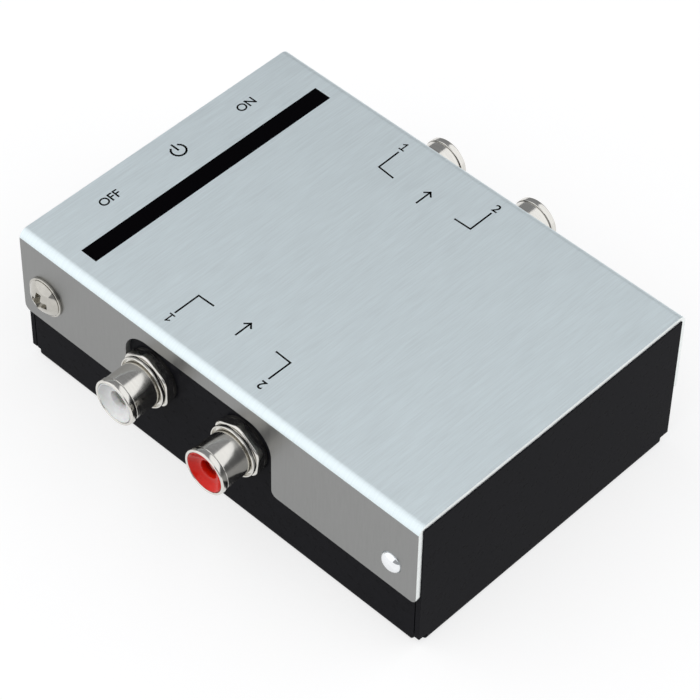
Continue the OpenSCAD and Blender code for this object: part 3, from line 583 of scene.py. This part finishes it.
# ---- Phono jacks
# Each barrel is turned from brass with a rolled bead, a wrench hexagon and a threaded tail, and
# nickel-plated. A moulded insulator sits behind the bead and carries the slit spring socket; fibre
# washer, solder lug and nut clamp the tail in its wall.
HEXAGON_TURNS = {"left": 30, "right": 24}
HEXAGON_EDGE = 0.35


def arc(middle, radius, start, end, steps):
    """Points of an arc, for the outline of a turned part."""
    for step in range(steps + 1):
        angle = math.radians(start + (end - start) * step / steps)
        yield middle[0] + radius * math.cos(angle), middle[1] + radius * math.sin(angle)


def turned(name, outline, sides=72):
    """Draw a circle out through the outline's (radius, height) points, in millimetres."""
    deselect()
    outline = [(max(radius, 0.0004), height) for radius, height in outline]
    radius, height = outline[0]
    bpy.ops.mesh.primitive_circle_add(vertices=sides, radius=radius * MM)
    edit("EDGE")
    bpy.ops.mesh.select_all(action="SELECT")
    bpy.ops.transform.translate(value=(0, 0, height * MM))
    for next_radius, next_height in outline[1:]:
        rise = (0, 0, (next_height - height) * MM)
        bpy.ops.mesh.extrude_region_move(TRANSFORM_OT_translate={"value": rise})
        factor = next_radius / radius
        bpy.ops.transform.resize(
            value=(factor, factor, 1), center_override=(0, 0, next_height * MM)
        )
        radius, height = next_radius, next_height
    bpy.ops.mesh.select_all(action="SELECT")
    bpy.ops.mesh.remove_doubles(threshold=0.001 * MM)
    bpy.ops.mesh.normals_make_consistent(inside=False)
    done()
    return named(name)


def ridges(radius, depth, high, low, pitch):
    """Outline of a thread, from its high end down to its low end."""
    height = high
    while height - pitch > low:
        yield radius, height
        yield radius - depth, height - pitch / 2
        height -= pitch


def wrench_hexagon(across_flats, low, high, turn, corner):
    """A solid hexagon with rounded corners whose upper edge is rounded over."""
    deselect()
    bpy.ops.mesh.primitive_cylinder_add(
        vertices=6,
        radius=across_flats / 2 / math.cos(math.radians(30)) * MM, depth=(high - low) * MM,
        location=(0, 0, (high + low) / 2 * MM), rotation=(0, 0, math.radians(turn - 30)),
    )
    hexagon = named("hexagon")
    edit("EDGE")
    pick("EDGE", lambda place, run: abs(run.z) > 0.5 * (high - low) * MM)
    bpy.ops.mesh.bevel(offset=corner * MM, segments=6, profile=0.5, affect="EDGES")
    pick("EDGE", lambda place, run: place.z > high - 0.01)
    bpy.ops.mesh.bevel(offset=HEXAGON_EDGE * MM, segments=5, profile=0.5, affect="EDGES")
    done()
    return hexagon


nickel = Finish("nickel", (0.72, 0.705, 0.665), metallic=1, roughness=0.16)
turning_marks = nickel.pattern(drawn_grain, Stretch=(250, 2600, 250))
nickel.tint(turning_marks, 0.94, 1.04)
nickel.rough(turning_marks, 0.12, 0.2)


def turn_barrel():
    """Bore, rolled edge, outside with its bead and lip, and the threaded tail."""
    return turned("barrel", [
        (2.575, -6), (2.575, 1.4), (3.4, 1.4), (3.4, 8.4), (3.82, 8.4), (3.82, 9.05),
        *arc((4.04, 9.08), 0.22, 180, 90, 5), *arc((4.04, 9.01), 0.29, 90, 0, 6),
        *arc((4.13, 8.2), 0.2, 0, -90, 4), (4.1, 8), (4.18, 7.85), (4.2, 2.6), (4.55, 2.6),
        (4.62, 2.9), *arc((4.74, 2.94), 0.14, 180, 0, 6), (4.9, 2.5), (4.8, 2.3), (4.0, 2.2),
        (4.0, 0.5), (3.175, 0.5), *ridges(3.175, 0.22, -0.9, -5.8, 0.7),
        (2.95, -5.8), (2.85, -6), (2.575, -6),
    ])


def hex_barrel(turn):
    barrel = turn_barrel()
    hexagon = wrench_hexagon(9.8, 0.5, 2.25, turn, corner=1.2)
    combine(hexagon, [rod(3.6, 0, 3.2)])
    combine(barrel, [hexagon], "UNION")
    smooth(barrel, 30)
    return barrel


def copy_of(piece, name):
    twin = piece.copy()
    twin.data = piece.data.copy()
    twin.name = twin.data.name = name
    bpy.context.collection.objects.link(twin)
    return twin


def mould_insulator():
    rim, run, top, depth, steps = 3.59, 1.81, 9.2, 1.0, 10
    dish = [
        (rim - run * step / steps, top - depth * (1 - (1 - step / steps) ** 2))
        for step in range(steps + 1)
    ]
    insulator = turned("insulator", [
        (2.1, -6), (2.525, -6), (2.525, 1.4), (3.35, 1.4), (3.35, 8.45), (3.77, 8.45),
        *arc((3.69, 9.12), 0.08, 0, 90, 3), *dish, (1.7, 8.1), (1.7, 7.25), (2.1, 7.1), (2.1, -6),
    ])
    smooth(insulator, 40)
    return insulator


def turn_contact():
    contact = turned("contact", [
        (0, -9), (1.05, -9), (1.2, -8.85), (1.2, -7), (2.05, -7), (2.05, 6.5),
        *arc((1.93, 6.58), 0.12, 0, 90, 3), *arc((1.77, 6.58), 0.12, 90, 180, 3), (1.65, 0.4), (0, 0),
    ], 48)
    slit = box("cutter", (-2.6, -0.2, 2.7), (2.6, 0.2, 7.5))
    combine(contact, [slit])
    soften(contact, 0.05)
    smooth(contact)
    return contact


white_plastic = Finish(
    "white_plastic", (0.97, 0.97, 0.96), roughness=0.25, Subsurface_Weight=0.1, Subsurface_Scale=0.001
)
red_plastic = Finish("red_plastic", (0.78, 0.014, 0.005), roughness=0.18, Specular_IOR_Level=0.25)
for plastic in (white_plastic, red_plastic):
    mould_mottle = plastic.pattern(speckle, Scale=1200)
    plastic.tint(mould_mottle, 0.95, 1.04)
    plastic.bump(mould_mottle, 0.12, 0.02)

contact_metal = Finish("contact_metal", (0.66, 0.63, 0.55), metallic=1, roughness=0.25)
contact_marks = contact_metal.pattern(drawn_grain, Stretch=(250, 3000, 250))
contact_metal.tint(contact_marks, 0.85, 1.08)
contact_metal.rough(contact_marks, 0.2, 0.34)

insulator_model, contact_model = mould_insulator(), turn_contact()
for side, turn in HEXAGON_TURNS.items():
    barrel_model = hex_barrel(turn)
    for wall in ("input", "output"):
        place = wall, JACK_X[side == "right"], JACK_Z
        key = f"{wall}_{side}"
        barrel = place_on(copy_of(barrel_model, key + "_barrel"), *place)
        dress(barrel, nickel)
        insulator = place_on(copy_of(insulator_model, key + "_bush"), *place)
        dress(insulator, red_plastic if side == "right" else white_plastic)
        contact = place_on(copy_of(contact_model, key + "_socket"), *place)
        dress(contact, contact_metal)
        for piece, node, slot in (
            (barrel, "shell", "nickel"),
            (insulator, "insulator", "red_plastic" if side == "right" else "white_plastic"),
            (contact, "contact", "contact_metal"),
        ):
            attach(piece, "case")
            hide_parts(f"{key}_{node}")
    bpy.data.objects.remove(barrel_model)
bpy.data.objects.remove(insulator_model)
bpy.data.objects.remove(contact_model)

fibre = Finish("fibre", (0.012, 0.011, 0.01), roughness=0.75)
fibre_mottle = fibre.pattern(speckle, Scale=2200)
fibre.tint(fibre_mottle, 0.6, 1.6)
fibre.bump(fibre_mottle, 0.4, 0.05)
dress_node("jack_fibre_washers", fibre)
dress_node("jack_solder_lugs", tinned_steel)
dress_node("jack_nuts", tinned_steel)


# ---- Ground terminal
# A polished M4 screw with a low round head, a wide cross recess and a plain washer. It backs out of
# the nut inside to take a turntable's ground lead.
GROUND_AT = "input", GROUND_X, GROUND_Z


def cross_recess(width, top, depth):
    """Two crossed tapering cutters of a screwdriver recess."""
    half_long, half_wide = width / 2, width * 0.14
    cutters = []
    for turn in (0, 90):
        cutter = box(
            "cutter", (-half_long, -half_wide, top - depth), (half_long, half_wide, top + 0.3)
        )
        activate(cutter)
        edit()
        pick("FACE", lambda place, normal: normal.z < -0.9)
        bpy.ops.transform.resize(value=(0.36, 0.7, 1), center_override=(0, 0, (top - depth) * MM))
        done()
        cutter.rotation_euler = (0, 0, math.radians(turn))
        activate(cutter)
        bpy.ops.object.transform_apply(location=False, rotation=True, scale=False)
        cutters.append(cutter)
    return cutters


def pan_screw(name, thread, length, head, height, low, pitch, recess=0.5, domed=False):
    """A screw whose pan head, or domed head, stands on the height low."""
    radius, edge = head / 2, height * 0.45
    rim = low + height * 0.4
    if domed:
        rise = height - 0.1
        swell = (radius ** 2 + rise ** 2) / (2 * rise)
        half = math.degrees(math.asin(radius / swell))
        crown = [*arc((0, low + height - swell), swell, 90 - half, 90, 18)]
    else:
        crown = [(radius, rim), *arc((radius - edge, rim), edge, 0, 90, 8),
                 (radius * 0.4, low + height * 0.965), (0, low + height)]
    screw = turned(name, [
        (0, low - length), (thread * 0.36, low - length), (thread / 2 - 0.12, low - length + 0.35),
        *reversed(list(ridges(thread / 2, thread * 0.07, low - 0.3, low - length + 0.4, pitch))),
        (thread / 2, low), (radius - 0.1, low), (radius, low + 0.1), *crown,
    ])
    combine(screw, cross_recess(head * recess, low + height * 0.95, head * recess * 0.36))
    soften(screw, 0.05, angle=38)
    smooth(screw, 38)
    return screw


polished_steel = Finish("polished_steel", (0.52, 0.505, 0.465), metallic=1, roughness=0.1)
polish_marks = polished_steel.pattern(speckle, Scale=600)
polished_steel.tint(polish_marks, 0.9, 1.05)
polished_steel.rough(polish_marks, 0.08, 0.16)

ground_screw = pan_screw(
    "ground_thumb_screw", thread=4, length=7.5, head=7.0, height=1.6, low=1.5, pitch=0.7,
    recess=0.66, domed=True,
)
place_on(ground_screw, *GROUND_AT)
dress(ground_screw, polished_steel)
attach(ground_screw, "terminal_screw")
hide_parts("ground_screw")

ground_washer = turned("ground_plain_washer", [
    (2.05, 1), (3.7, 1), *arc((3.7, 1.1), 0.1, -90, 0, 2), *arc((3.65, 1.35), 0.15, 0, 90, 4),
    (2.15, 1.5), (2.05, 1.4), (2.05, 1),
])
smooth(ground_washer, 40)
place_on(ground_washer, *GROUND_AT)
dress(ground_washer, polished_steel)
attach(ground_washer, "terminal_washer")
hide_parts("ground_washer")
dress_node("ground_nut", tinned_steel)
dress_node("ground_lug", tinned_steel)


# ---- Power lamp
# A moulded lens with a low, silvery dome is pressed through the wall, close in front of a small
# lamp on two tinned leads.
LENS_RADIUS, DOME_LOW, DOME_RISE = 2, 0.9, 1.1

lens_plastic = Finish("lens_plastic", (0.93, 0.95, 0.97), metallic=0.85, roughness=0.07, IOR=1.49)
lens_mottle = lens_plastic.pattern(speckle, Scale=900)
lens_plastic.tint(lens_mottle, 0.95, 1.03)
lens_plastic.bump(lens_mottle, 0.1, 0.02)

dome = []
for degrees in range(9, 91, 9):
    angle = math.radians(degrees)
    dome.append((LENS_RADIUS * math.cos(angle), DOME_LOW + DOME_RISE * math.sin(angle)))
lens = turned("lamp_dome", [
    (0, -1.6), (1.35, -1.6), (1.45, -1.5), (1.45, 0), (1.9, 0), (LENS_RADIUS, 0.1),
    (LENS_RADIUS, 0.88), *dome,
])
smooth(lens, 40)
place_on(lens, "input", LAMP_X, LAMP_Z)
dress(lens, lens_plastic)
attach(lens, "case")
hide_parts("lamp_lens")

lamp_epoxy = Finish("lamp_epoxy", (0.74, 0.8, 0.76), roughness=0.15, Transmission_Weight=0.3)
lamp_mottle = lamp_epoxy.pattern(speckle, Scale=900)
lamp_epoxy.tint(lamp_mottle, 0.94, 1.03)
dress_node("power_lamp", lamp_epoxy)
dress_node("lamp_leads", tinned_steel)


# ---- Slide switch
# A black nylon knob with three grip grooves slides in the end wall's slot. Behind it are a phenolic
# body and a tinned frame, held to the wall by two black pan-head screws.
SWITCH_AT = "power", 0, POWER_Z
KNOB_OFF = 2.0


def mould_knob():
    """A flange behind the wall, then the knob, drawn out of it, tapered, grooved and set to OFF."""
    flange_top, knob_top = -1.65, 3.2
    knob = box("slide_knob", (-3.2, -2.4, -3.25), (3.2, 2.4, flange_top))
    activate(knob)
    edit()
    pick("FACE", lambda place, normal: normal.z > 0.9)
    bpy.ops.mesh.inset(thickness=0.3 * MM)
    bpy.ops.transform.resize(value=(2.2 / 2.9, 2.0 / 2.1, 1), center_override=(0, 0, flange_top * MM))
    rise = (0, 0, (knob_top - flange_top) * MM)
    bpy.ops.mesh.extrude_region_move(TRANSFORM_OT_translate={"value": rise})
    bpy.ops.transform.resize(value=(0.96, 0.96, 1), center_override=(0, 0, knob_top * MM))
    done()
    combine(knob, [
        box("cutter", (x - 0.225, -3, 2.85), (x + 0.225, 3, 3.6)) for x in (-1.1, 0, 1.1)
    ])
    soften(knob, 0.1, angle=30, steps=3)
    smooth(knob, 40)
    knob.location.x = KNOB_OFF * MM
    activate(knob)
    bpy.ops.object.transform_apply(location=True, rotation=False, scale=False)
    return place_on(knob, *SWITCH_AT)


black_plastic = Finish("black_plastic", (0.02, 0.02, 0.021), roughness=0.42)
plastic_mottle = black_plastic.pattern(speckle, Scale=1800)
black_plastic.tint(plastic_mottle, 0.8, 1.25)
black_plastic.rough(plastic_mottle, 0.36, 0.5)
black_plastic.bump(plastic_mottle, 0.25, 0.03)

slide_knob = mould_knob()
dress(slide_knob, black_plastic)
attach(slide_knob, "power_knob")
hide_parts("switch_knob")

phenolic = Finish("phenolic", (0.06, 0.035, 0.02), roughness=0.6)
phenolic_mottle = phenolic.pattern(speckle, Scale=1400)
phenolic.tint(phenolic_mottle, 0.7, 1.3)
phenolic.bump(phenolic_mottle, 0.3, 0.04)
dress_node("switch_body", phenolic)
dress_node("switch_frame", tinned_steel)
dress_node("switch_terminals", tinned_steel)

black_screw = Finish("black_screw", (0.045, 0.045, 0.047), metallic=1, roughness=0.36)
oxide_mottle = black_screw.pattern(speckle, Scale=1600)
black_screw.tint(oxide_mottle, 0.75, 1.4)
black_screw.rough(oxide_mottle, 0.28, 0.46)


def join(name, pieces):
    deselect()
    for piece in pieces:
        piece.select_set(True)
    bpy.context.view_layer.objects.active = pieces[0]
    bpy.ops.object.join()
    pieces[0].name = pieces[0].data.name = name
    return pieces[0]


wall_screw = pan_screw(
    "wall_screw", thread=2.5, length=3.6, head=4.575, height=1.5, low=0, pitch=0.45
)
wall_screws = join("wall_screws", [
    place_on(copy_of(wall_screw, "wall_screw_copy"), "power", y, POWER_Z)
    for y in (-SWITCH_SCREW_Y, SWITCH_SCREW_Y)
])
bpy.data.objects.remove(wall_screw)
dress(wall_screws, black_screw)
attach(wall_screws, "case")
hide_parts("switch_screws")


# ---- Power inlet
# A moulded body with a threaded collar stands through the end wall under a nickel-plated nut, with
# a tinned centre pin riveted into the floor of its mouth.
INLET_AT = "power", INLET_Y, POWER_Z

inlet_body = turned("inlet_housing", [
    (1.5, -9.3), (4.7, -9.3), *arc((4.7, -9), 0.3, -90, 0, 3), (5, -1), (3.95, -1), (3.95, 0),
    *reversed(list(ridges(3.95, 0.16, 2.45, -0.1, 0.5))), *arc((3.65, 2.5), 0.3, 0, 90, 3),
    *arc((3.1, 2.5), 0.3, 90, 180, 3), (2.8, -6.7), (1.5, -6.7), (1.5, -9.3),
])
smooth(inlet_body, 35)
place_on(inlet_body, *INLET_AT)
dress(inlet_body, black_plastic)

inlet_pin = turned("inlet_centre_pin", [
    (0, -9.9), (1.3, -9.9), (1.45, -9.75), (1.45, -6.7), (1.05, -6.7), (1.05, 0.95),
    *arc((0, 0.95), 1.05, 0, 90, 8),
], 40)
smooth(inlet_pin, 35)
place_on(inlet_pin, *INLET_AT)
dress(inlet_pin, contact_metal)

inlet_nut = wrench_hexagon(10, 0, 2, 30, corner=1)
inlet_nut.name = inlet_nut.data.name = "inlet_ring_nut"
combine(inlet_nut, [rod(4, -1, 3)])
smooth(inlet_nut, 30)
place_on(inlet_nut, *INLET_AT)
dress(inlet_nut, nickel)

for piece, node, slot in (
    (inlet_body, "inlet_body", "black_plastic"), (inlet_pin, "inlet_pin", "contact_metal"),
    (inlet_nut, "inlet_nut", "nickel"),
):
    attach(piece, "case")
    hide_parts(node)
dress_node("inlet_terminals", tinned_steel)


# ---- Wires
# Bare tinned wire from the jacks to the board, black stranded wire from the ground lugs and red
# from the switch and the inlet.
wire_black = Finish("wire_black", (0.014, 0.014, 0.015), roughness=0.45)
wire_red = Finish("wire_red", (0.36, 0.014, 0.012), roughness=0.4)
for insulation in (wire_black, wire_red):
    skin_mottle = insulation.pattern(speckle, Scale=2000)
    insulation.tint(skin_mottle, 0.85, 1.2)
    insulation.bump(skin_mottle, 0.15, 0.03)
dress_node("signal_wires", tinned_steel)
dress_node("ground_wires", wire_black)
dress_node("power_wires", wire_red)


# ---- Cover
# A brushed sheet-metal lid bent down over both long sides, with a cutout in each flange for the
# jacks. The top is brushed across the case and the sheared edges are bright. The flanges are satin
# metal whose much darker base colour is painted shade, for the darker surroundings they reflect.
COVER_LONG, COVER_WIDE, TOP = 90.0, 63.0, 30.0
FLANGE_LOW = 11.8
COVER_BEND = 1.7
FLANGE_CORNER = 1.2
FLANGE_SCREW_HOLE, FLANGE_LAMP_HOLE = 1.7, 2.05
CUTOUT = (-20.0, 13.4)
CUTOUT_TOP = 25.7
CUTOUT_CORNER = 5.0
SHADED_FLANGE_FACES, EDGE_FACES = 1, 2

brushed_top = Finish("brushed_top", (0.845, 0.93, 0.955), metallic=1, roughness=0.56)
top_grain = brushed_top.pattern(drawn_grain, Stretch=(3800, 160, 160))
brushed_top.tint(top_grain, 0.95, 1.03)
brushed_top.rough(top_grain, 0.52, 0.58)
brushed_top.bump(top_grain, 0.25, 0.012)

# The flanges are the same sheet as the top; their much darker base colour is painted shade.
shaded_flange = Finish("shaded_flange", (0.27, 0.272, 0.268), metallic=1, roughness=0.34)
flange_grain = shaded_flange.pattern(drawn_grain, Stretch=(3000, 300, 300))
shaded_flange.tint(flange_grain, 0.95, 1.05)
shaded_flange.rough(flange_grain, 0.3, 0.38)

bright_edge = Finish("bright_edge", (0.9, 0.93, 0.92), metallic=1, roughness=0.4)
edge_grain = bright_edge.pattern(drawn_grain, Stretch=(300, 300, 2500))
bright_edge.tint(edge_grain, 0.92, 1.04)
bright_edge.rough(edge_grain, 0.36, 0.5)


def bend_cover():
    half_long, half_wide = COVER_LONG / 2, COVER_WIDE / 2
    piece = box("cover_sheet", (-half_long, -half_wide, FLANGE_LOW), (half_long, half_wide, TOP))
    activate(piece)
    edit()
    pick("FACE", lambda place, normal: normal.z < -0.9 or abs(normal.x) > 0.9)
    bpy.ops.mesh.delete(type="FACE")
    pick("EDGE", lambda place, run: place.z > TOP - 0.01 and abs(place.y) > 1)
    bpy.ops.mesh.bevel(offset=COVER_BEND * MM, segments=8, profile=0.5, affect="EDGES")
    for place, normal in (
        ((CUTOUT[0], 0, 0), (1, 0, 0)), ((CUTOUT[1], 0, 0), (1, 0, 0)),
        ((0, 0, CUTOUT_TOP), (0, 0, 1)),
    ):
        pick("FACE", lambda place, normal: abs(normal.y) > 0.99)
        cut_plane(place, normal)
    pick(
        "FACE",
        lambda place, normal: abs(normal.y) > 0.99
        and CUTOUT[0] < place.x < CUTOUT[1] and place.z < CUTOUT_TOP,
    )
    bpy.ops.mesh.delete(type="FACE")
    for side in (-1, 1):
        pick("FACE", lambda place, normal: normal.y * side > 0.99)
        bpy.ops.mesh.dissolve_faces()
    pick("VERT", lambda place, normal: place.z < FLANGE_LOW + 0.01)
    bpy.ops.mesh.bevel(offset=FLANGE_CORNER * MM, segments=6, profile=0.5, affect="VERTICES")
    pick(
        "VERT",
        lambda place, normal: abs(place.z - CUTOUT_TOP) < 0.01
        and min(abs(place.x - x) for x in CUTOUT) < 0.01,
    )
    bpy.ops.mesh.bevel(offset=CUTOUT_CORNER * MM, segments=12, profile=0.5, affect="VERTICES")
    bpy.ops.mesh.select_all(action="SELECT")
    bpy.ops.mesh.remove_doubles(threshold=0.01 * MM)
    done()
    apply_modifier(piece, "SOLIDIFY", thickness=SHEET * MM, offset=-1, use_even_offset=True)
    combine(piece, hole_cutters([
        (FLANGE_SCREW_HOLE, "output", -GROUND_X, GROUND_Z),
        (FLANGE_SCREW_HOLE, "output", GROUND_X, GROUND_Z),
        (GROUND_HOLE, "input", GROUND_X, GROUND_Z),
        (FLANGE_LAMP_HOLE, "input", LAMP_X, LAMP_Z),
    ], low=-1, high=3))
    soften(piece, 0.12, material=EDGE_FACES)
    smooth(piece)
    return piece


def share_cover_faces(piece):
    """Brushed on the top and its bends, satin with painted shade on the flanges, bright where cut."""
    for face in piece.data.polygons:
        if face.material_index == EDGE_FACES:
            continue
        place, normal = face.center / MM, face.normal
        if abs(normal.x) > 0.9 or (normal.z < -0.9 and place.z < CUTOUT_TOP + 1):
            face.material_index = EDGE_FACES
        # Flange faces take the darker satin finish, whose dark base colour is painted shade.
        elif place.z < TOP - COVER_BEND and abs(normal.y) > 0.5:
            face.material_index = SHADED_FLANGE_FACES


cover = bend_cover()
dress(cover, brushed_top, shaded_flange, bright_edge)
share_cover_faces(cover)
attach(cover, "case")
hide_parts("cover")


# ---- Cover screws
# Two black M3 pan-head screws through the output side's flange hold the cover down.
cover_screw = pan_screw(
    "cover_screw", thread=3, length=4.4, head=5.49, height=1.8, low=1, pitch=0.5
)
cover_screws = join("cover_fixings", [
    place_on(copy_of(cover_screw, "cover_screw_copy"), "output", x, GROUND_Z)
    for x in (GROUND_X, -GROUND_X)
])
bpy.data.objects.remove(cover_screw)
dress(cover_screws, black_screw)
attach(cover_screws, "case")
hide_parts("cover_screws")


# ---- Printing
# Black screen-printed marks on the cover: a plain bar, ON and OFF by the switch, and brackets with
# plain channel numbers and arrows for the jacks. The ink is a hundredth of a millimetre thick.
INK_LOW, INK_HIGH = TOP + 0.002, TOP + 0.012
LINE, THIN_LINE, SIGN_LINE = 0.32, 0.26, 0.36
LETTER_HIGH, LETTER_SPREAD = 1.75, 0.035
CAPITAL_SHARE = 0.7

ink = Finish("ink", (0.0016, 0.0014, 0.002), roughness=0.6, Specular_IOR_Level=0.01)
ink_mottle = ink.pattern(speckle, Scale=3500)
ink.tint(ink_mottle, 0.7, 1.5)
ink.rough(ink_mottle, 0.4, 0.6)


def print_block(low, high):
    return box("mark", (*low, INK_LOW), (*high, INK_HIGH))


def print_line(start, end, width=LINE):
    """A straight printed line between two places on the cover, in millimetres."""
    run_x, run_y = end[0] - start[0], end[1] - start[1]
    length = math.hypot(run_x, run_y) + width
    mark = print_block((-length / 2, -width / 2), (length / 2, width / 2))
    mark.rotation_euler = (0, 0, math.atan2(run_y, run_x))
    mark.location = ((start[0] + end[0]) / 2 * MM, (start[1] + end[1]) / 2 * MM, 0)
    activate(mark)
    bpy.ops.object.transform_apply(location=True, rotation=True, scale=True)
    return mark


def print_word(word, place, turn):
    """A word or number centred on a place in millimetres and turned by an angle in degrees."""
    deselect()
    bpy.ops.object.text_add()
    text = bpy.context.object
    text.data.body = word
    text.data.align_x = "CENTER"
    text.data.align_y = "CENTER"
    text.data.size = LETTER_HIGH / CAPITAL_SHARE * MM
    text.data.extrude = (INK_HIGH - INK_LOW) / 2 * MM
    text.data.offset = LETTER_SPREAD * MM
    bpy.ops.object.convert(target="MESH")
    mark = bpy.context.object
    edit("VERT")
    bpy.ops.mesh.select_all(action="SELECT")
    bpy.ops.mesh.remove_doubles(threshold=0.0005 * MM)
    done()
    mark.location = (place[0] * MM, place[1] * MM, (INK_LOW + INK_HIGH) / 2 * MM)
    mark.rotation_euler = (0, 0, math.radians(turn))
    bpy.ops.object.transform_apply(location=True, rotation=True, scale=True)
    return mark


def print_one(x, y, up):
    """The number 1 with its flag and foot, its top towards the output side where up is 1."""
    top, foot = y + 0.8 * up, y - 0.8 * up
    return [
        print_line((x, foot), (x, top), THIN_LINE),
        print_line((x, top), (x - 0.5 * up, top - 0.4 * up), THIN_LINE),
        print_line((x - 0.45, foot), (x + 0.45, foot), THIN_LINE),
    ]


def print_arrow(tail_end, tip):
    """An arrow whose head is an open angle."""
    tip_x, tip_y = tip
    back_y = tip_y + (0.75 if tip_y < tail_end[1] else -0.75)
    return [
        print_line(tail_end, tip),
        print_line((tip_x - 0.75, back_y), tip),
        print_line((tip_x + 0.75, back_y), tip),
    ]


def print_power_sign(x, y, radius):
    """Ring with a gap and a stroke in it, the usual sign for power."""
    ring = list(arc((x, y), radius, -140, 140, 14))
    marks = [print_line(start, end, SIGN_LINE) for start, end in zip(ring, ring[1:])]
    marks.append(print_line((x - radius * 1.25, y), (x - radius * 0.1, y), SIGN_LINE))
    return marks


marks = [
    print_block((-34.55, -27.25), (-31.0, 27.5)),
    print_word("OFF", (-40.0, -15.7), turn=90),
    print_word("ON", (-40.0, 16.2), turn=90),
    *print_one(-13.6, -27.5, up=-1),
    print_word("2", (7.2, -27.2), turn=180),
    *print_one(-13.6, 27.6, up=1),
    print_word("2", (7.35, 27.6), turn=0),
    *print_power_sign(-40.2, 0.3, radius=1.35),
]
brackets = (
    ((-13.65, -26.0), (-13.65, -20.8), (-10.4, -20.7)),
    ((7.1, -25.5), (7.15, -20.8), (3.95, -20.7)),
    ((-13.5, 25.95), (-13.4, 21.15), (-10.0, 20.9)),
    ((4.05, 21.05), (7.4, 21.15), (7.4, 26.2)),
)
for start, corner, end in brackets:
    marks += [print_line(start, corner), print_line(corner, end)]
marks += print_arrow((-3.3, -22.6), (-3.3, -19.2)) + print_arrow((-3.1, 19.4), (-3.1, 22.8))

printing = join("printed_marks", marks)
dress(printing, ink)
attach(printing, "case")
